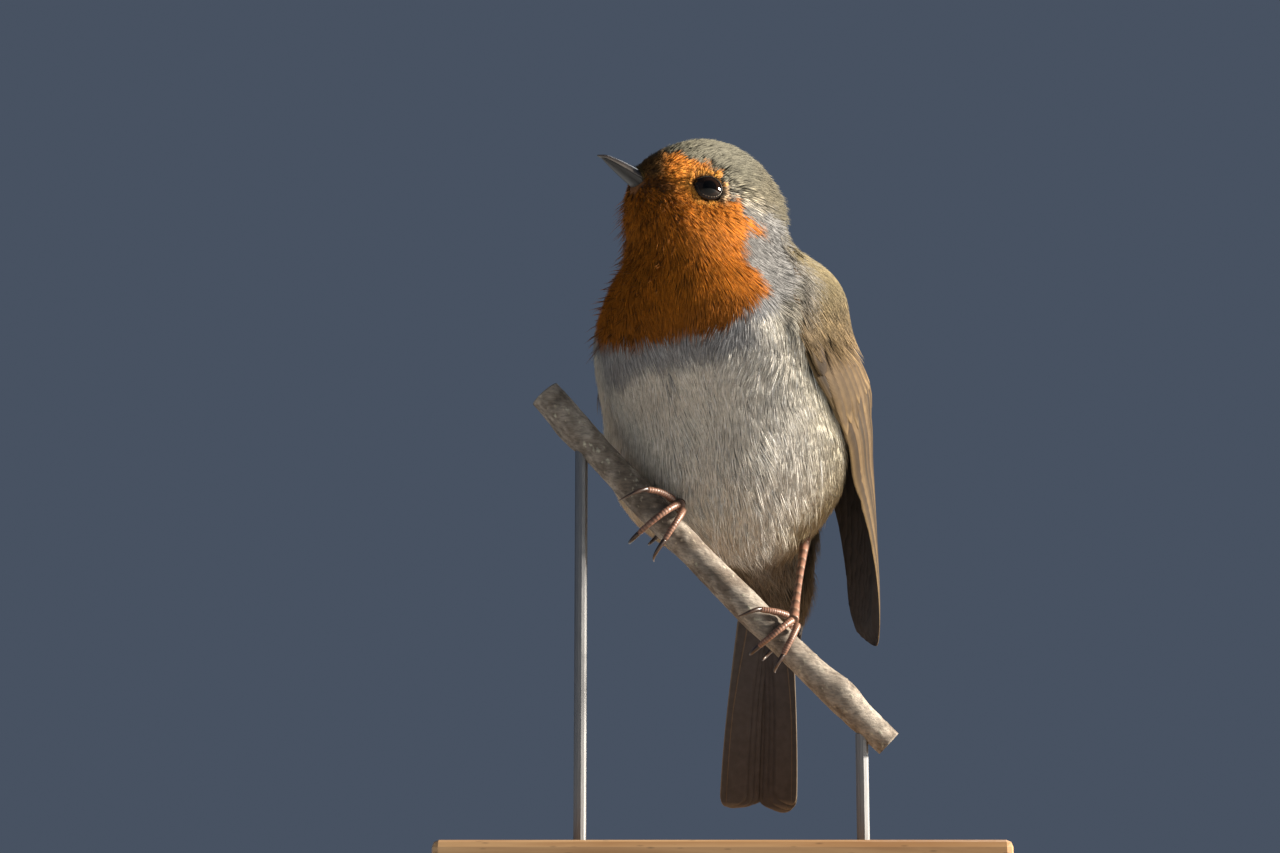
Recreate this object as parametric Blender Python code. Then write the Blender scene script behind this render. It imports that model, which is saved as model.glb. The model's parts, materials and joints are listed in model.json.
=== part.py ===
"""European robin: a life-size museum model, gripping a cut length of branch on a plain stand.

Metres, +Z up. The origin is the middle of the stand's underside. The bird stands with its breast
towards -Y and a little towards -X, and its head turned further towards -X. The perch runs across
under it, high at -X and low at +X. Trunk and head each have axes of their own, written as rows:
front, left and up, where the trunk's "up" is its long axis from vent to neck.
"""
import bpy
import numpy as np

MM = 0.001
GAP = 0.40 * MM            # clearance between neighbouring solids


# ---------------------------------------------------------------- small geometry

def unit(vectors):
    """Vectors scaled to length one."""
    vectors = np.asarray(vectors, float)
    return vectors / np.linalg.norm(vectors, axis=-1, keepdims=True)


def axes(heading, pitch, roll=0.0):
    """Rows front, left, up. Heading turns the front from -Y towards -X; pitch raises the front."""
    h, p, r = np.radians([heading, pitch, roll])
    flat = np.array([-np.sin(h), -np.cos(h), 0.0])
    side = np.array([np.cos(h), -np.sin(h), 0.0])
    world_up = np.array([0.0, 0.0, 1.0])
    front = np.cos(p) * flat + np.sin(p) * world_up
    top = np.cos(p) * world_up - np.sin(p) * flat
    return np.array([front, np.cos(r) * side - np.sin(r) * top, np.cos(r) * top + np.sin(r) * side])


def place(centre, rows, offset):
    """World point at an offset in millimetres along the rows from a centre."""
    return centre + np.asarray(offset, float) * MM @ rows


def smoothstep(x):
    """0 below 0, 1 above 1, and 3x^2 - 2x^3 between."""
    x = np.clip(x, 0.0, 1.0)
    return x * x * (3.0 - 2.0 * x)


def smooth_min(a, b, blend):
    """The lower of two fields, rounded where they are nearer than the blend length."""
    h = np.clip(0.5 + 0.5 * (b - a) / blend, 0.0, 1.0)
    return b * (1.0 - h) + a * h - blend * h * (1.0 - h)


def curve(x, stations, values):
    """Smooth curve through a few (station, value) pairs, with the mean slope at each station."""
    stations = np.asarray(stations, float)
    values = np.asarray(values, float)
    slopes = np.gradient(values, stations)
    x = np.clip(x, stations[0], stations[-1])
    i = np.clip(np.searchsorted(stations, x) - 1, 0, len(stations) - 2)
    width = stations[i + 1] - stations[i]
    t = (x - stations[i]) / width
    near = (1 + 2 * t) * (1 - t) ** 2 * values[i] + t * (1 - t) ** 2 * width * slopes[i]
    far = t * t * (3 - 2 * t) * values[i + 1] - t * t * (1 - t) * width * slopes[i + 1]
    return near + far


# ---------------------------------------------------------------- pose and body form

TRUNK_CENTRE = np.array([3.0, 0.0, 89.0]) * MM
TRUNK_AXES = axes(22.0, -18.0, -5.0)
HEAD_CENTRE = np.array([-3.0, -13.0, 130.5]) * MM
HEAD_AXES = axes(60.0, 20.0, 8.0)

# (centre front, left, up), (half sizes), millimetres in the trunk's axes
TRUNK_FORMS = (
    ((0.0, -1.0, 1.0), (21.5, 24.5, 28.0)),      # rib cage with its coat
    ((3.0, -1.6, -7.0), (18.0, 23.0, 18.0)),     # belly
    ((4.4, -2.0, 16.5), (20.0, 20.5, 18.3)),     # breast
    ((-6.0, 1.0, 19.0), (14.0, 22.0, 15.0)),     # mantle
    ((-9.0, -1.0, -12.0), (11.0, 13.0, 20.0)),   # rump
    ((-10.0, -3.0, -27.0), (7.0, 9.2, 18.0)),    # vent and tail coverts
    ((2.5, -1.0, 27.0), (14.0, 14.0, 13.0)),      # neck
)
# the same in the head's axes
HEAD_FORMS = (
    ((-2.0, 0.0, 0.2), (13.5, 11.2, 11.2)),      # skull
    ((-5.5, 0.0, -3.0), (10.3, 10.8, 9.0)),     # nape
    ((6.8, 0.0, -3.2), (7.5, 6.8, 5.8)),         # forehead and lores
    ((0.3, 0.0, -7.8), (10.3, 11.0, 8.3)),       # cheeks and throat
)
FORM_BLEND = 6.0 * MM
NECK_BLEND = 8.0 * MM

# the line inside the body that its rings are cast from: vent, breast, head
PATH_LOW = (-4.0, -1.5, -18.0)
PATH_MID = (0.0, 0.0, 20.0)
CAST_REACH = 65.0 * MM
CAST_STEPS = 26

TRUNK_END = 0.500          # where the rings leave the trunk, and the neck, from 0 at the vent to 1
NECK_END = 0.600           # at the crown
RING_STEP = 0.005          # share of the rings left out at each of those two cuts


def ellipsoid_field(points, centre, rows, half):
    """Signed distance to an ellipsoid, near enough close to its surface, and negative inside."""
    half = np.asarray(half) * MM
    local = (points - centre) @ rows.T
    k0 = np.linalg.norm(local / half, axis=-1)
    k1 = np.linalg.norm(local / half ** 2, axis=-1)
    return k0 * (k0 - 1.0) / np.maximum(k1, 1e-9)


def body_field(points):
    """Signed distance to the whole feathered body, the smooth union of its forms."""
    field = None
    for centre, half in TRUNK_FORMS:
        form = ellipsoid_field(points, place(TRUNK_CENTRE, TRUNK_AXES, centre), TRUNK_AXES, half)
        field = form if field is None else smooth_min(field, form, FORM_BLEND)
    blend = NECK_BLEND
    for centre, half in HEAD_FORMS:
        form = ellipsoid_field(points, place(HEAD_CENTRE, HEAD_AXES, centre), HEAD_AXES, half)
        field = smooth_min(field, form, blend)
        blend = FORM_BLEND
    return field


def cast(origins, directions, reach=CAST_REACH):
    """Where rays from inside leave the body, by halving the interval between inside and outside."""
    near = np.zeros(directions.shape[:-1])
    far = np.full(directions.shape[:-1], reach)
    for _ in range(CAST_STEPS):
        middle = (near + far) / 2.0
        inside = body_field(origins + middle[..., None] * directions) < 0.0
        near = np.where(inside, middle, near)
        far = np.where(inside, far, middle)
    return near


def ring_frames(t):
    """Origin, elevation and axes of the rings at t: a bent line, tilting from vent to crown."""
    low = place(TRUNK_CENTRE, TRUNK_AXES, PATH_LOW)
    mid = place(TRUNK_CENTRE, TRUNK_AXES, PATH_MID)
    s = smoothstep((t - 0.08) / 0.80)[:, None]
    origin = (1 - s) ** 2 * low + 2 * s * (1 - s) * mid + s * s * HEAD_CENTRE
    rise = np.radians(90.0) * (smoothstep((t - 0.62) / 0.38) - 1.0 + smoothstep(t / 0.45))
    w = smoothstep((t - 0.40) / 0.45)[:, None, None]
    mixed = (1 - w) * TRUNK_AXES + w * HEAD_AXES
    up = unit(mixed[:, 2])
    front = unit(mixed[:, 0] - up * np.sum(mixed[:, 0] * up, axis=1, keepdims=True))
    return origin, rise, front, np.cross(up, front), up


def body_rings(start, end, count, around):
    """Rings of the body between two values of t, and the origins of the first and the last."""
    t = np.linspace(start, end, count)
    origin, rise, front, left, up = ring_frames(t)
    turn = np.linspace(0.0, 2.0 * np.pi, around, endpoint=False)[None, :, None]
    level = np.cos(turn) * front[:, None] + np.sin(turn) * left[:, None]
    rise = rise[:, None, None]
    direction = np.cos(rise) * level + np.sin(rise) * up[:, None]
    start_points = origin[:, None] + 0.0 * direction
    return start_points + cast(start_points, direction)[..., None] * direction, origin[0], origin[-1]


# ---------------------------------------------------------------- Blender objects

def material(name, colour, roughness, metallic=0.0):
    """A Principled material of one colour."""
    made = bpy.data.materials.new(name)
    made.use_nodes = True
    shader = made.node_tree.nodes["Principled BSDF"]
    shader.inputs["Base Color"].default_value = (*colour, 1.0)
    shader.inputs["Roughness"].default_value = roughness
    shader.inputs["Metallic"].default_value = metallic
    return made


def add_object(name, vertices, faces, finish):
    """One closed mesh object in world coordinates, its faces turned outwards."""
    vertices = np.asarray(vertices, float)
    mesh = bpy.data.meshes.new(name)
    mesh.from_pydata([tuple(v) for v in vertices], [], faces)
    mesh.validate()
    if signed_volume(vertices, faces) < 0.0:
        mesh.flip_normals()
    colour, roughness, metallic = finish
    mesh.materials.append(material(name, colour, roughness, metallic))
    mesh.shade_smooth()
    piece = bpy.data.objects.new(name, mesh)
    bpy.context.scene.collection.objects.link(piece)
    return piece


def signed_volume(vertices, faces):
    """Volume of a closed mesh, negative where its faces point inwards."""
    total = 0.0
    for face in faces:
        a = vertices[face[0]]
        for j in range(1, len(face) - 1):
            total += np.dot(a, np.cross(vertices[face[j]], vertices[face[j + 1]]))
    return total / 6.0


def ring_solid(name, rings, first, last, finish):
    """Closed solid from rings of points, with a fan to one point at each end."""
    count, around = rings.shape[:2]
    vertices = np.vstack([rings.reshape(-1, 3), first, last])
    faces = []
    for i in range(count - 1):
        for j in range(around):
            k = (j + 1) % around
            faces.append((i * around + j, i * around + k, (i + 1) * around + k, (i + 1) * around + j))
    bottom, top = count * around, count * around + 1
    for j in range(around):
        k = (j + 1) % around
        faces.append((bottom, k, j))
        faces.append((top, (count - 1) * around + j, (count - 1) * around + k))
    return add_object(name, vertices, faces, finish)


def plate_solid(name, inner, outer, finish):
    """Closed solid between two grids of points, with a strip of faces along each of its four sides."""
    rows, columns = inner.shape[:2]
    vertices = np.vstack([inner.reshape(-1, 3), outer.reshape(-1, 3)])
    size = rows * columns
    faces = []
    for i in range(rows - 1):
        for j in range(columns - 1):
            a, b = i * columns + j, i * columns + j + 1
            c, d = (i + 1) * columns + j + 1, (i + 1) * columns + j
            faces.append((a, d, c, b))
            faces.append((size + a, size + b, size + c, size + d))
    rim = [(0, j) for j in range(columns)] + [(i, columns - 1) for i in range(1, rows)]
    rim += [(rows - 1, j) for j in range(columns - 2, -1, -1)] + [(i, 0) for i in range(rows - 2, 0, -1)]
    rim = [i * columns + j for i, j in rim]
    for a, b in zip(rim, rim[1:] + rim[:1]):
        faces.append((a, b, size + b, size + a))
    return add_object(name, vertices, faces, finish)


def cutter(piece):
    """Marks an object as a cutting tool, which is no part of the model."""
    piece.hide_render = True
    piece.display_type = "WIRE"
    return piece


def cut(piece, tool):
    """Takes a cutter's shape out of a piece."""
    boolean = piece.modifiers.new(tool.name, "BOOLEAN")
    boolean.operation = "DIFFERENCE"
    boolean.object = tool
    boolean.solver = "EXACT"


def tube_rings(points, radii, around, grow=0.0):
    """Rings round a path, square to it, and the middles of its two ends."""
    points = np.asarray(points, float)
    along = unit(np.gradient(points, axis=0))
    side = unit(np.cross(along, SIDE_REFERENCE))
    over = np.cross(side, along)
    turn = np.linspace(0.0, 2.0 * np.pi, around, endpoint=False)[None, :, None]
    spread = np.cos(turn) * side[:, None] + np.sin(turn) * over[:, None]
    return points[:, None] + (np.asarray(radii)[:, None, None] + grow) * spread


def tube(name, points, radii, around, finish, grow=0.0):
    """Closed round rod of changing radius along a path."""
    rings = tube_rings(points, radii, around, grow)
    return ring_solid(name, rings, points[0], points[-1], finish)


SIDE_REFERENCE = unit(np.array([0.31, 0.87, 0.38]))   # no path here runs along this direction


# ---------------------------------------------------------------- finishes: colour, roughness, metallic

OLIVE = ((0.150, 0.125, 0.080), 0.80, 0.0)
BREAST = ((0.420, 0.300, 0.190), 0.85, 0.0)
ORANGE = ((0.560, 0.150, 0.025), 0.85, 0.0)
FLIGHT = ((0.080, 0.058, 0.038), 0.65, 0.0)
HORN = ((0.045, 0.040, 0.040), 0.30, 0.0)
EYE = ((0.008, 0.006, 0.005), 0.05, 0.0)
LEG = ((0.230, 0.100, 0.070), 0.45, 0.0)
CLAW = ((0.060, 0.040, 0.032), 0.35, 0.0)
BARK = ((0.180, 0.150, 0.115), 0.90, 0.0)
BASE_WOOD = ((0.420, 0.290, 0.170), 0.50, 0.0)
ROD_STEEL = ((0.560, 0.560, 0.570), 0.30, 1.0)


# ---------------------------------------------------------------- head, neck and trunk

AROUND = 32

EYE_SEAT = (3.4, 9.9, -1.5)         # middle of the left eye in the head's axes
EYE_HALF = (3.10, 2.65, 2.0)        # along the face, up, and out of the head
EYE_TURN = 16.0                     # degrees that each eye looks forward of sideways
EYE_RINGS = 6
EYE_AROUND = 14

BILL_ROOT = 11.5                    # inside the feathers, in the head's axes
BILL_TIP = 22.9
BILL_MID_ROOT = -3.8                # height of the gape line at the root and at the tip
BILL_MID_TIP = -2.6
BILL_HALF_WIDTH = 2.8
BILL_UPPER = 1.75                   # height of the upper half over the gape line at the root
BILL_LOWER = 1.65
BILL_RINGS = 9


def eye_rows(side):
    """Axes of an eye: along the face, up, and out of the head."""
    front, left, up = HEAD_AXES
    turn = np.radians(EYE_TURN)
    out = side * left * np.cos(turn) + front * np.sin(turn)
    along = front * np.cos(turn) - side * left * np.sin(turn)
    return np.array([along, up, out])


def eye(name, side, grow=0.0):
    """Eyeball as far as it shows, a flattened ball: sines and cosines times its three half sizes."""
    rows = eye_rows(side)
    centre = place(HEAD_CENTRE, HEAD_AXES, (EYE_SEAT[0], side * EYE_SEAT[1], EYE_SEAT[2]))
    half = np.array(EYE_HALF) * MM + grow
    rise = np.radians(np.linspace(-90.0, 90.0, EYE_RINGS + 2)[1:-1])[:, None]
    turn = np.linspace(0.0, 2.0 * np.pi, EYE_AROUND, endpoint=False)[None, :]
    local = np.stack([np.cos(rise) * np.cos(turn), np.cos(rise) * np.sin(turn),
                      np.sin(rise) + 0.0 * turn], axis=-1) * half
    poles = np.array([[0.0, 0.0, -half[2]], [0.0, 0.0, half[2]]])
    return ring_solid(name, centre + local @ rows, centre + poles[0] @ rows, centre + poles[1] @ rows, EYE)


def bill_half(name, upper, finish, whole=False, grow=0.0):
    """One half of the bill: half ellipses on the gape line, shrinking to the tip.

    The whole bill, with both halves' heights, is the tool that makes room for it in the head.
    """
    x = np.linspace(0.0, 1.0, BILL_RINGS)
    x = 1.0 - (1.0 - x) ** 1.35
    reach = BILL_TIP if upper else BILL_TIP - 0.7
    root = BILL_ROOT - grow / MM
    front = root + (reach - root) * x
    taper = (1.0 - x ** 1.7) ** 0.80
    width = (BILL_HALF_WIDTH * taper + 0.22) * MM + grow
    middle = BILL_MID_ROOT + (BILL_MID_TIP - BILL_MID_ROOT) * x ** 0.8
    over = (BILL_UPPER * (1.0 - x ** 2.1) ** 0.75 + 0.25) * MM + grow
    under = (BILL_LOWER * (1.0 - x ** 1.2) ** 0.85 + 0.25) * MM + grow
    turn = np.linspace(0.0, np.pi, 9)
    flat = 0.5 * GAP
    rings = []
    for i in range(BILL_RINGS):
        centre = np.array([front[i], 0.0, middle[i]]) * MM
        side_way = width[i] * np.cos(turn)
        if whole:
            arch = np.concatenate([np.sin(turn) * over[i], -np.sin(turn[1:-1]) * under[i]])
            side_way = np.concatenate([side_way, width[i] * np.cos(np.pi + turn[1:-1])])
        elif upper:
            arch = flat + np.sin(turn) * over[i]
        else:
            arch = -flat - np.sin(turn) * under[i]
        ring = centre + np.stack([0.0 * arch, side_way, arch], axis=-1)
        rings.append(HEAD_CENTRE + ring @ HEAD_AXES)
    rings = np.array(rings)
    return ring_solid(name, rings, rings[0].mean(axis=0), rings[-1].mean(axis=0), finish)


def make_head():
    """Head with its eyes and bill, each set in a pocket of its own shape."""
    rings, inner, _ = body_rings(NECK_END + RING_STEP, 0.985, 15, AROUND)
    crown = rings[-1].mean(axis=0) + 0.1 * MM * HEAD_AXES[2]
    head = ring_solid("head", rings, inner, crown, OLIVE)
    for word, side in (("left", 1.0), ("right", -1.0)):
        cut(head, cutter(eye("eye_room_" + word, side, GAP)))
        eye("eye_" + word, side)
    cut(head, cutter(bill_half("bill_room", True, HORN, whole=True, grow=GAP)))
    bill_half("bill_upper", True, HORN)
    bill_half("bill_lower", False, HORN)


def make_neck():
    """The short length between head and trunk."""
    rings, below, above = body_rings(TRUNK_END + RING_STEP, NECK_END, 5, AROUND)
    ring_solid("neck", rings, below, above, ORANGE)


def make_trunk():
    """Trunk from vent to neck, with room for the tail and the two legs."""
    rings, _, above = body_rings(0.02, TRUNK_END, 19, AROUND)
    trunk = ring_solid("trunk", rings, rings[0].mean(axis=0), above, BREAST)
    cut(trunk, cutter(tail_room()))
    for word, side in (("left", 1.0), ("right", -1.0)):
        cut(trunk, cutter(tarsus("tarsus_room_" + word, side, GAP)))
    cut(trunk, cutter(foot_room("right", -1.0)))


# ---------------------------------------------------------------- wings

WING_AXIS = (-2.0, 0.0)                    # front and left place of the line the wings curve round
WING_HALF = (18.5, 22.5)                   # half sizes of the egg they lie on, front and side
WING_MIDDLE = -8.0                         # its widest height along the trunk
WING_BELOW = 72.0                          # half lengths under and over that height
WING_ABOVE = 46.0

WING_HEIGHT = (-48.0, -44.0, -36.0, -24.0, -12.0, 4.0, 18.0, 29.0)
# degrees round from the breast: the left wing droops beside the tail, the right lies over its root
WING_FRONT = {1.0: (112.0, 104.0, 96.0, 84.0, 73.0, 64.0, 60.0, 84.0),
              -1.0: (160.0, 146.0, 132.0, 114.0, 98.0, 86.0, 80.0, 96.0)}
WING_BACK = {1.0: (140.0, 145.0, 146.0, 148.0, 157.0, 166.0, 166.0, 150.0),
             -1.0: (170.0, 175.0, 177.0, 176.0, 172.0, 168.0, 166.0, 150.0)}

WING_CLEAR = 0.1                           # extra lift of every plate over the body's own gap
COVERT_SPAN = (-8.0, 27.0)                 # heights along the trunk
COVERT_EDGE = 0.9                          # thickness at the edges, and what the middle adds to it
COVERT_RISE = 1.2
COVERT_FADE = (12.0, 26.0)                 # heights over which the coverts thin out to the shoulder
FLIGHT_SPAN = (-48.0, -8.4)
FLIGHT_THICK = 0.8
TERTIAL_SPAN = (-29.0, -8.4)
TERTIAL_ROUND = 12.0                       # length over which the tertials' tip closes
TERTIAL_FRONT = {1.0: 118.0, -1.0: 126.0}
TERTIAL_TIP = {1.0: 142.0, -1.0: 154.0}


def wing_points(height, angle, lift, side):
    """Points over the trunk: radius is the larger of the body's own and the egg's, plus the lift.

    The egg's radius is sqrt(1 - (height / half length)^2) over the ellipse of its cross-section.
    """
    a = np.radians(angle)
    out = np.stack([np.cos(a), side * np.sin(a), 0.0 * a], axis=-1) @ TRUNK_AXES
    start = np.stack([0.0 * a + WING_AXIS[0], 0.0 * a + WING_AXIS[1], height + 0.0 * a], axis=-1)
    start = TRUNK_CENTRE + start * MM @ TRUNK_AXES
    body = cast(start, out) + GAP
    length = np.where(height < WING_MIDDLE, WING_BELOW, WING_ABOVE)
    level = np.sqrt(np.clip(1.0 - ((height - WING_MIDDLE) / length) ** 2, 0.0, 1.0))
    egg = level * MM / np.hypot(np.cos(a) / WING_HALF[0], np.sin(a) / WING_HALF[1])
    radius = -smooth_min(-body, -egg, 2.0 * MM)
    return start + (radius + lift)[..., None] * out


def wing_plate(name, side, heights, front, back, low, high, columns, finish):
    """A plate of the wing between two angles at each height, with its own under and upper lift."""
    share = np.linspace(0.0, 1.0, columns)[None, :]
    height = heights[:, None] + 0.0 * share
    angle = front[:, None] * (1.0 - share) + back[:, None] * share
    inner = wing_points(height, angle, low(height, share) * MM, side)
    outer = wing_points(height, angle, high(height, share) * MM, side)
    plate_solid(name, inner, outer, finish)


def even(lift):
    """A lift that is the same all over a plate."""
    return lambda height, share: lift + 0.0 * share


def covert_top(height, share):
    """Upper lift of the coverts: fullest along the middle, thin at the edges and at the shoulder."""
    fade = 1.0 - 0.8 * smoothstep((height - COVERT_FADE[0]) / (COVERT_FADE[1] - COVERT_FADE[0]))
    return WING_CLEAR + COVERT_EDGE + COVERT_RISE * fade * np.sin(np.pi * share) ** 0.6


def make_wing(word, side):
    """One folded wing: coverts in front, tertials behind them, and the long flight feathers under both."""
    heights = np.linspace(*COVERT_SPAN, 10)
    front = curve(heights, WING_HEIGHT, WING_FRONT[side])
    back = curve(heights, WING_HEIGHT, WING_BACK[side])
    wing_plate("wing_%s_coverts" % word, side, heights, front, back, even(WING_CLEAR), covert_top, 11, OLIVE)

    heights = np.linspace(*FLIGHT_SPAN, 13)
    front = curve(heights, WING_HEIGHT, WING_FRONT[side])
    back = curve(heights, WING_HEIGHT, WING_BACK[side])
    over = WING_CLEAR + FLIGHT_THICK
    wing_plate("wing_%s_flight" % word, side, heights, front, back, even(WING_CLEAR), even(over), 9, FLIGHT)

    heights = np.linspace(*TERTIAL_SPAN, 8)
    back = curve(heights, WING_HEIGHT, WING_BACK[side])
    closing = np.sqrt(np.clip((heights - TERTIAL_SPAN[0] + 0.6) / TERTIAL_ROUND, 0.0, 1.0))
    tip = TERTIAL_TIP[side]
    front = tip + (TERTIAL_FRONT[side] - tip) * closing
    back = tip + (back - tip) * closing
    under = over + GAP / MM
    wing_plate("wing_%s_tertials" % word, side, heights, front, back,
               even(under), even(under + FLIGHT_THICK), 7, FLIGHT)


# ---------------------------------------------------------------- tail

TAIL_ROOT = (-12.5, -2.2, -24.3)           # in the trunk's axes
TAIL_AXES = axes(16.0, -13.0, 6.0)         # front is the underside's way, up runs to the root
TAIL_LENGTH = 57.0
TAIL_HALF_ROOT = 4.6
TAIL_HALF_TIP = 8.0
TAIL_THICK = 0.8
TAIL_NOTCH = 2.5
TAIL_ARCH = 1.6                            # how far the sides fall below the middle at the tip


def tail_points(along, across, lift):
    """Points of the tail: across times the half width, the sides falling as across squared."""
    half = TAIL_HALF_ROOT + (TAIL_HALF_TIP - TAIL_HALF_ROOT) * smoothstep(along) ** 0.8
    fall = TAIL_ARCH * (0.4 + 0.6 * along) * across ** 2
    local = np.stack([fall - lift, across * half, -TAIL_LENGTH * along], axis=-1)
    return place(TRUNK_CENTRE, TRUNK_AXES, TAIL_ROOT) + local * MM @ TAIL_AXES


def tail_plate(name, left, right, low, high, length, finish=FLIGHT):
    """A length of the tail between two shares of its half width; its end is cut round, as feathers are."""
    share = np.linspace(0.0, 1.0, 7)[None, :]
    along = np.linspace(0.0, 1.0, 9)[:, None]
    across = left + (right - left) * share + 0.0 * along
    round_end = 1.0 - 0.035 * (2.0 * share - 1.0) ** 4 - TAIL_NOTCH / TAIL_LENGTH * (1.0 - np.abs(across))
    along = along * length * round_end
    plate_solid(name, tail_points(along, across, low), tail_points(along, across, high), finish)


def make_tail():
    """Six folded feathers each side, and the middle pair over them."""
    middle = 0.5 * GAP / MM / TAIL_HALF_ROOT
    tail_plate("tail_left", middle, 1.0, -TAIL_THICK, 0.0, 1.0)
    tail_plate("tail_right", -1.0, -middle, -TAIL_THICK, 0.0, 1.0)
    tail_plate("tail_middle", -0.42, 0.42, GAP / MM, GAP / MM + TAIL_THICK, 0.985)


def tail_room():
    """The space that the tail's root takes in the trunk."""
    share = np.linspace(-1.08, 1.08, 7)[None, :]
    along = np.linspace(-0.008, 0.60, 7)[:, None]
    across = share + 0.0 * along
    lift = GAP / MM
    inner = tail_points(along + 0.0 * across, across, -TAIL_THICK - lift)
    outer = tail_points(along + 0.0 * across, across, 2.0 * lift + TAIL_THICK)
    return plate_solid("tail_room", inner, outer, FLIGHT)


# ---------------------------------------------------------------- perch

PERCH_Y = -14.0
PERCH_X = (-33.0, 31.0)
PERCH_MIDDLE = (-3.7, 60.0)                # x and z of a point on its centre line
PERCH_SLOPE = 1.04
PERCH_BEND = 0.0014
PERCH_RADIUS = 2.8
PERCH_RINGS = 20
PERCH_AROUND = 14
KNOTS = ((-27.0, 200.0, 0.7), (-8.0, 80.0, 0.4), (7.0, 250.0, 0.5), (22.0, 30.0, 0.8))
# each knot: x, degrees round, height


def perch_point(x):
    """Centre line of the perch: z falls with x a little more steeply than one for one, and sags."""
    x = np.asarray(x, float)
    run = x - PERCH_MIDDLE[0]
    z = PERCH_MIDDLE[1] - PERCH_SLOPE * run + PERCH_BEND * run ** 2
    return np.stack([x, PERCH_Y + 0.0 * x, z], axis=-1) * MM


def perch_frame(x):
    """Axes of the perch at x: along it, square up from it, and level towards -Y."""
    along = unit(perch_point(x + 0.1) - perch_point(x - 0.1))
    level = np.array([0.0, -1.0, 0.0])
    over = unit(np.cross(level, along))
    return along, over, level


def make_perch():
    """Cut branch: rings whose radius rises over each knot, flat at both cut ends."""
    x = np.linspace(*PERCH_X, PERCH_RINGS)
    rings = []
    turn = np.linspace(0.0, 360.0, PERCH_AROUND, endpoint=False)
    for here in x:
        _, over, level = perch_frame(here)
        radius = PERCH_RADIUS + 0.12 * np.sin(here * 0.35) - 0.004 * here + 0.0 * turn
        for knot_x, knot_turn, height in KNOTS:
            apart = (turn - knot_turn + 180.0) % 360.0 - 180.0
            radius = radius + height * np.exp(-((here - knot_x) / 2.6) ** 2 - (apart / 45.0) ** 2)
        a = np.radians(turn)[:, None]
        rings.append(perch_point(here) + radius[:, None] * MM * (np.cos(a) * over + np.sin(a) * level))
    rings = np.array(rings)
    perch = ring_solid("perch", rings, rings[0].mean(axis=0), rings[-1].mean(axis=0), BARK)
    for number, rod_x in enumerate(ROD_X):
        cut(perch, cutter(rod("rod_room_%d" % number, rod_x, GAP)))


# ---------------------------------------------------------------- legs and feet

TARSUS_RADIUS = (1.25, 0.85, 0.80, 1.10)   # from the ankle down to the toes
ANKLE = {1.0: (17.0, 3.0, 68.0), -1.0: (-5.0, -6.0, 75.0)}      # world millimetres
FOOT_X = {1.0: 10.6, -1.0: -10.6}          # where each foot stands along the perch
TOE_LOOSE = {1.0: 0.0, -1.0: 1.6}          # how far the toes' ends hang off the bark
FOOT_RISE = 1.5                            # middle of the foot over the bark
ROOM_SHARE = 0.97                          # how far down the shank its room in the trunk is cut
TOE_RADIUS = 0.72
TOE_AWAY = PERCH_RADIUS + 0.9 + TOE_RADIUS # middle of a toe from the perch's centre line
CLAW_START = 6.0                           # degrees round the perch from the toe's end
CLAW_TURN = 40.0
# toes: name, degrees round the perch from its top (level front positive), run along the perch at the
# start and at the end (up the slope is negative), length round
TOES = (
    ("inner", 28.0, 78.0, -1.3, -5.6),
    ("middle", 30.0, 150.0, 0.0, -1.0),
    ("outer", 28.0, 118.0, 1.3, 3.4),
    ("hind", -30.0, -112.0, 0.0, 0.8),
)


def foot_point(x):
    """The middle of a foot, just over the bark."""
    _, over, _ = perch_frame(x)
    return perch_point(x) + (PERCH_RADIUS + FOOT_RISE) * MM * over


def tarsus(name, side, grow=0.0):
    """Shank from the ankle in the belly's feathers down to the foot."""
    top = np.array(ANKLE[side]) * MM
    bottom = foot_point(FOOT_X[side])
    way = unit(bottom - top)
    start = top - grow * way
    end = bottom if grow == 0.0 else top + ROOM_SHARE * (bottom - top)
    s = np.linspace(0.0, 1.0, 6)
    points = start + s[:, None] * (end - start)
    radii = curve(s, (0.0, 0.3, 0.8, 1.0), TARSUS_RADIUS) * MM
    return tube(name, points, radii, 10, LEG, grow)


def wrap(x, start_turn, end_turn, start_run, end_run, start_radius, end_radius, count):
    """Path round the perch: turn, run along it and distance from its centre line change evenly."""
    s = np.linspace(0.0, 1.0, count)
    points = []
    for share in s:
        here = x + start_run + (end_run - start_run) * share
        _, over, level = perch_frame(here)
        turn = np.radians(start_turn + (end_turn - start_turn) * share)
        away = start_radius + (end_radius - start_radius) * share
        points.append(perch_point(here) + away * (np.cos(turn) * over + np.sin(turn) * level))
    return np.array(points)


def foot_room(word, side):
    """The space round the perch that a foot takes in the belly's feathers."""
    x = FOOT_X[side] + np.linspace(-5.5, 5.5, 5)
    radius = (TOE_AWAY + TOE_RADIUS) * MM + GAP
    return tube("foot_room_" + word, perch_point(x), np.full(5, radius), 16, LEG)


def make_foot(word, side):
    """Four toes round the perch, each with its claw."""
    away = TOE_AWAY * MM
    for toe, start, end, run_start, run_end in TOES:
        loose = away + (TOE_LOOSE[side] * MM if end > start else 0.0)
        path = wrap(FOOT_X[side], start, end, run_start * 0.7, run_end * 0.7, away, loose, 7)
        radii = np.linspace(1.0, 0.75, 7) * TOE_RADIUS * MM
        tube("toe_%s_%s" % (word, toe), path, radii, 8, LEG)
        way = 1.0 if end > start else -1.0
        turn = end + way * CLAW_START
        claw = wrap(FOOT_X[side], turn, turn + way * CLAW_TURN, run_end * 0.75, run_end * 0.95,
                    loose, loose + 0.9 * MM, 5)
        tube("claw_%s_%s" % (word, toe), claw, np.array([0.55, 0.48, 0.38, 0.28, 0.18]) * MM, 6, CLAW)


# ---------------------------------------------------------------- stand

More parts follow.
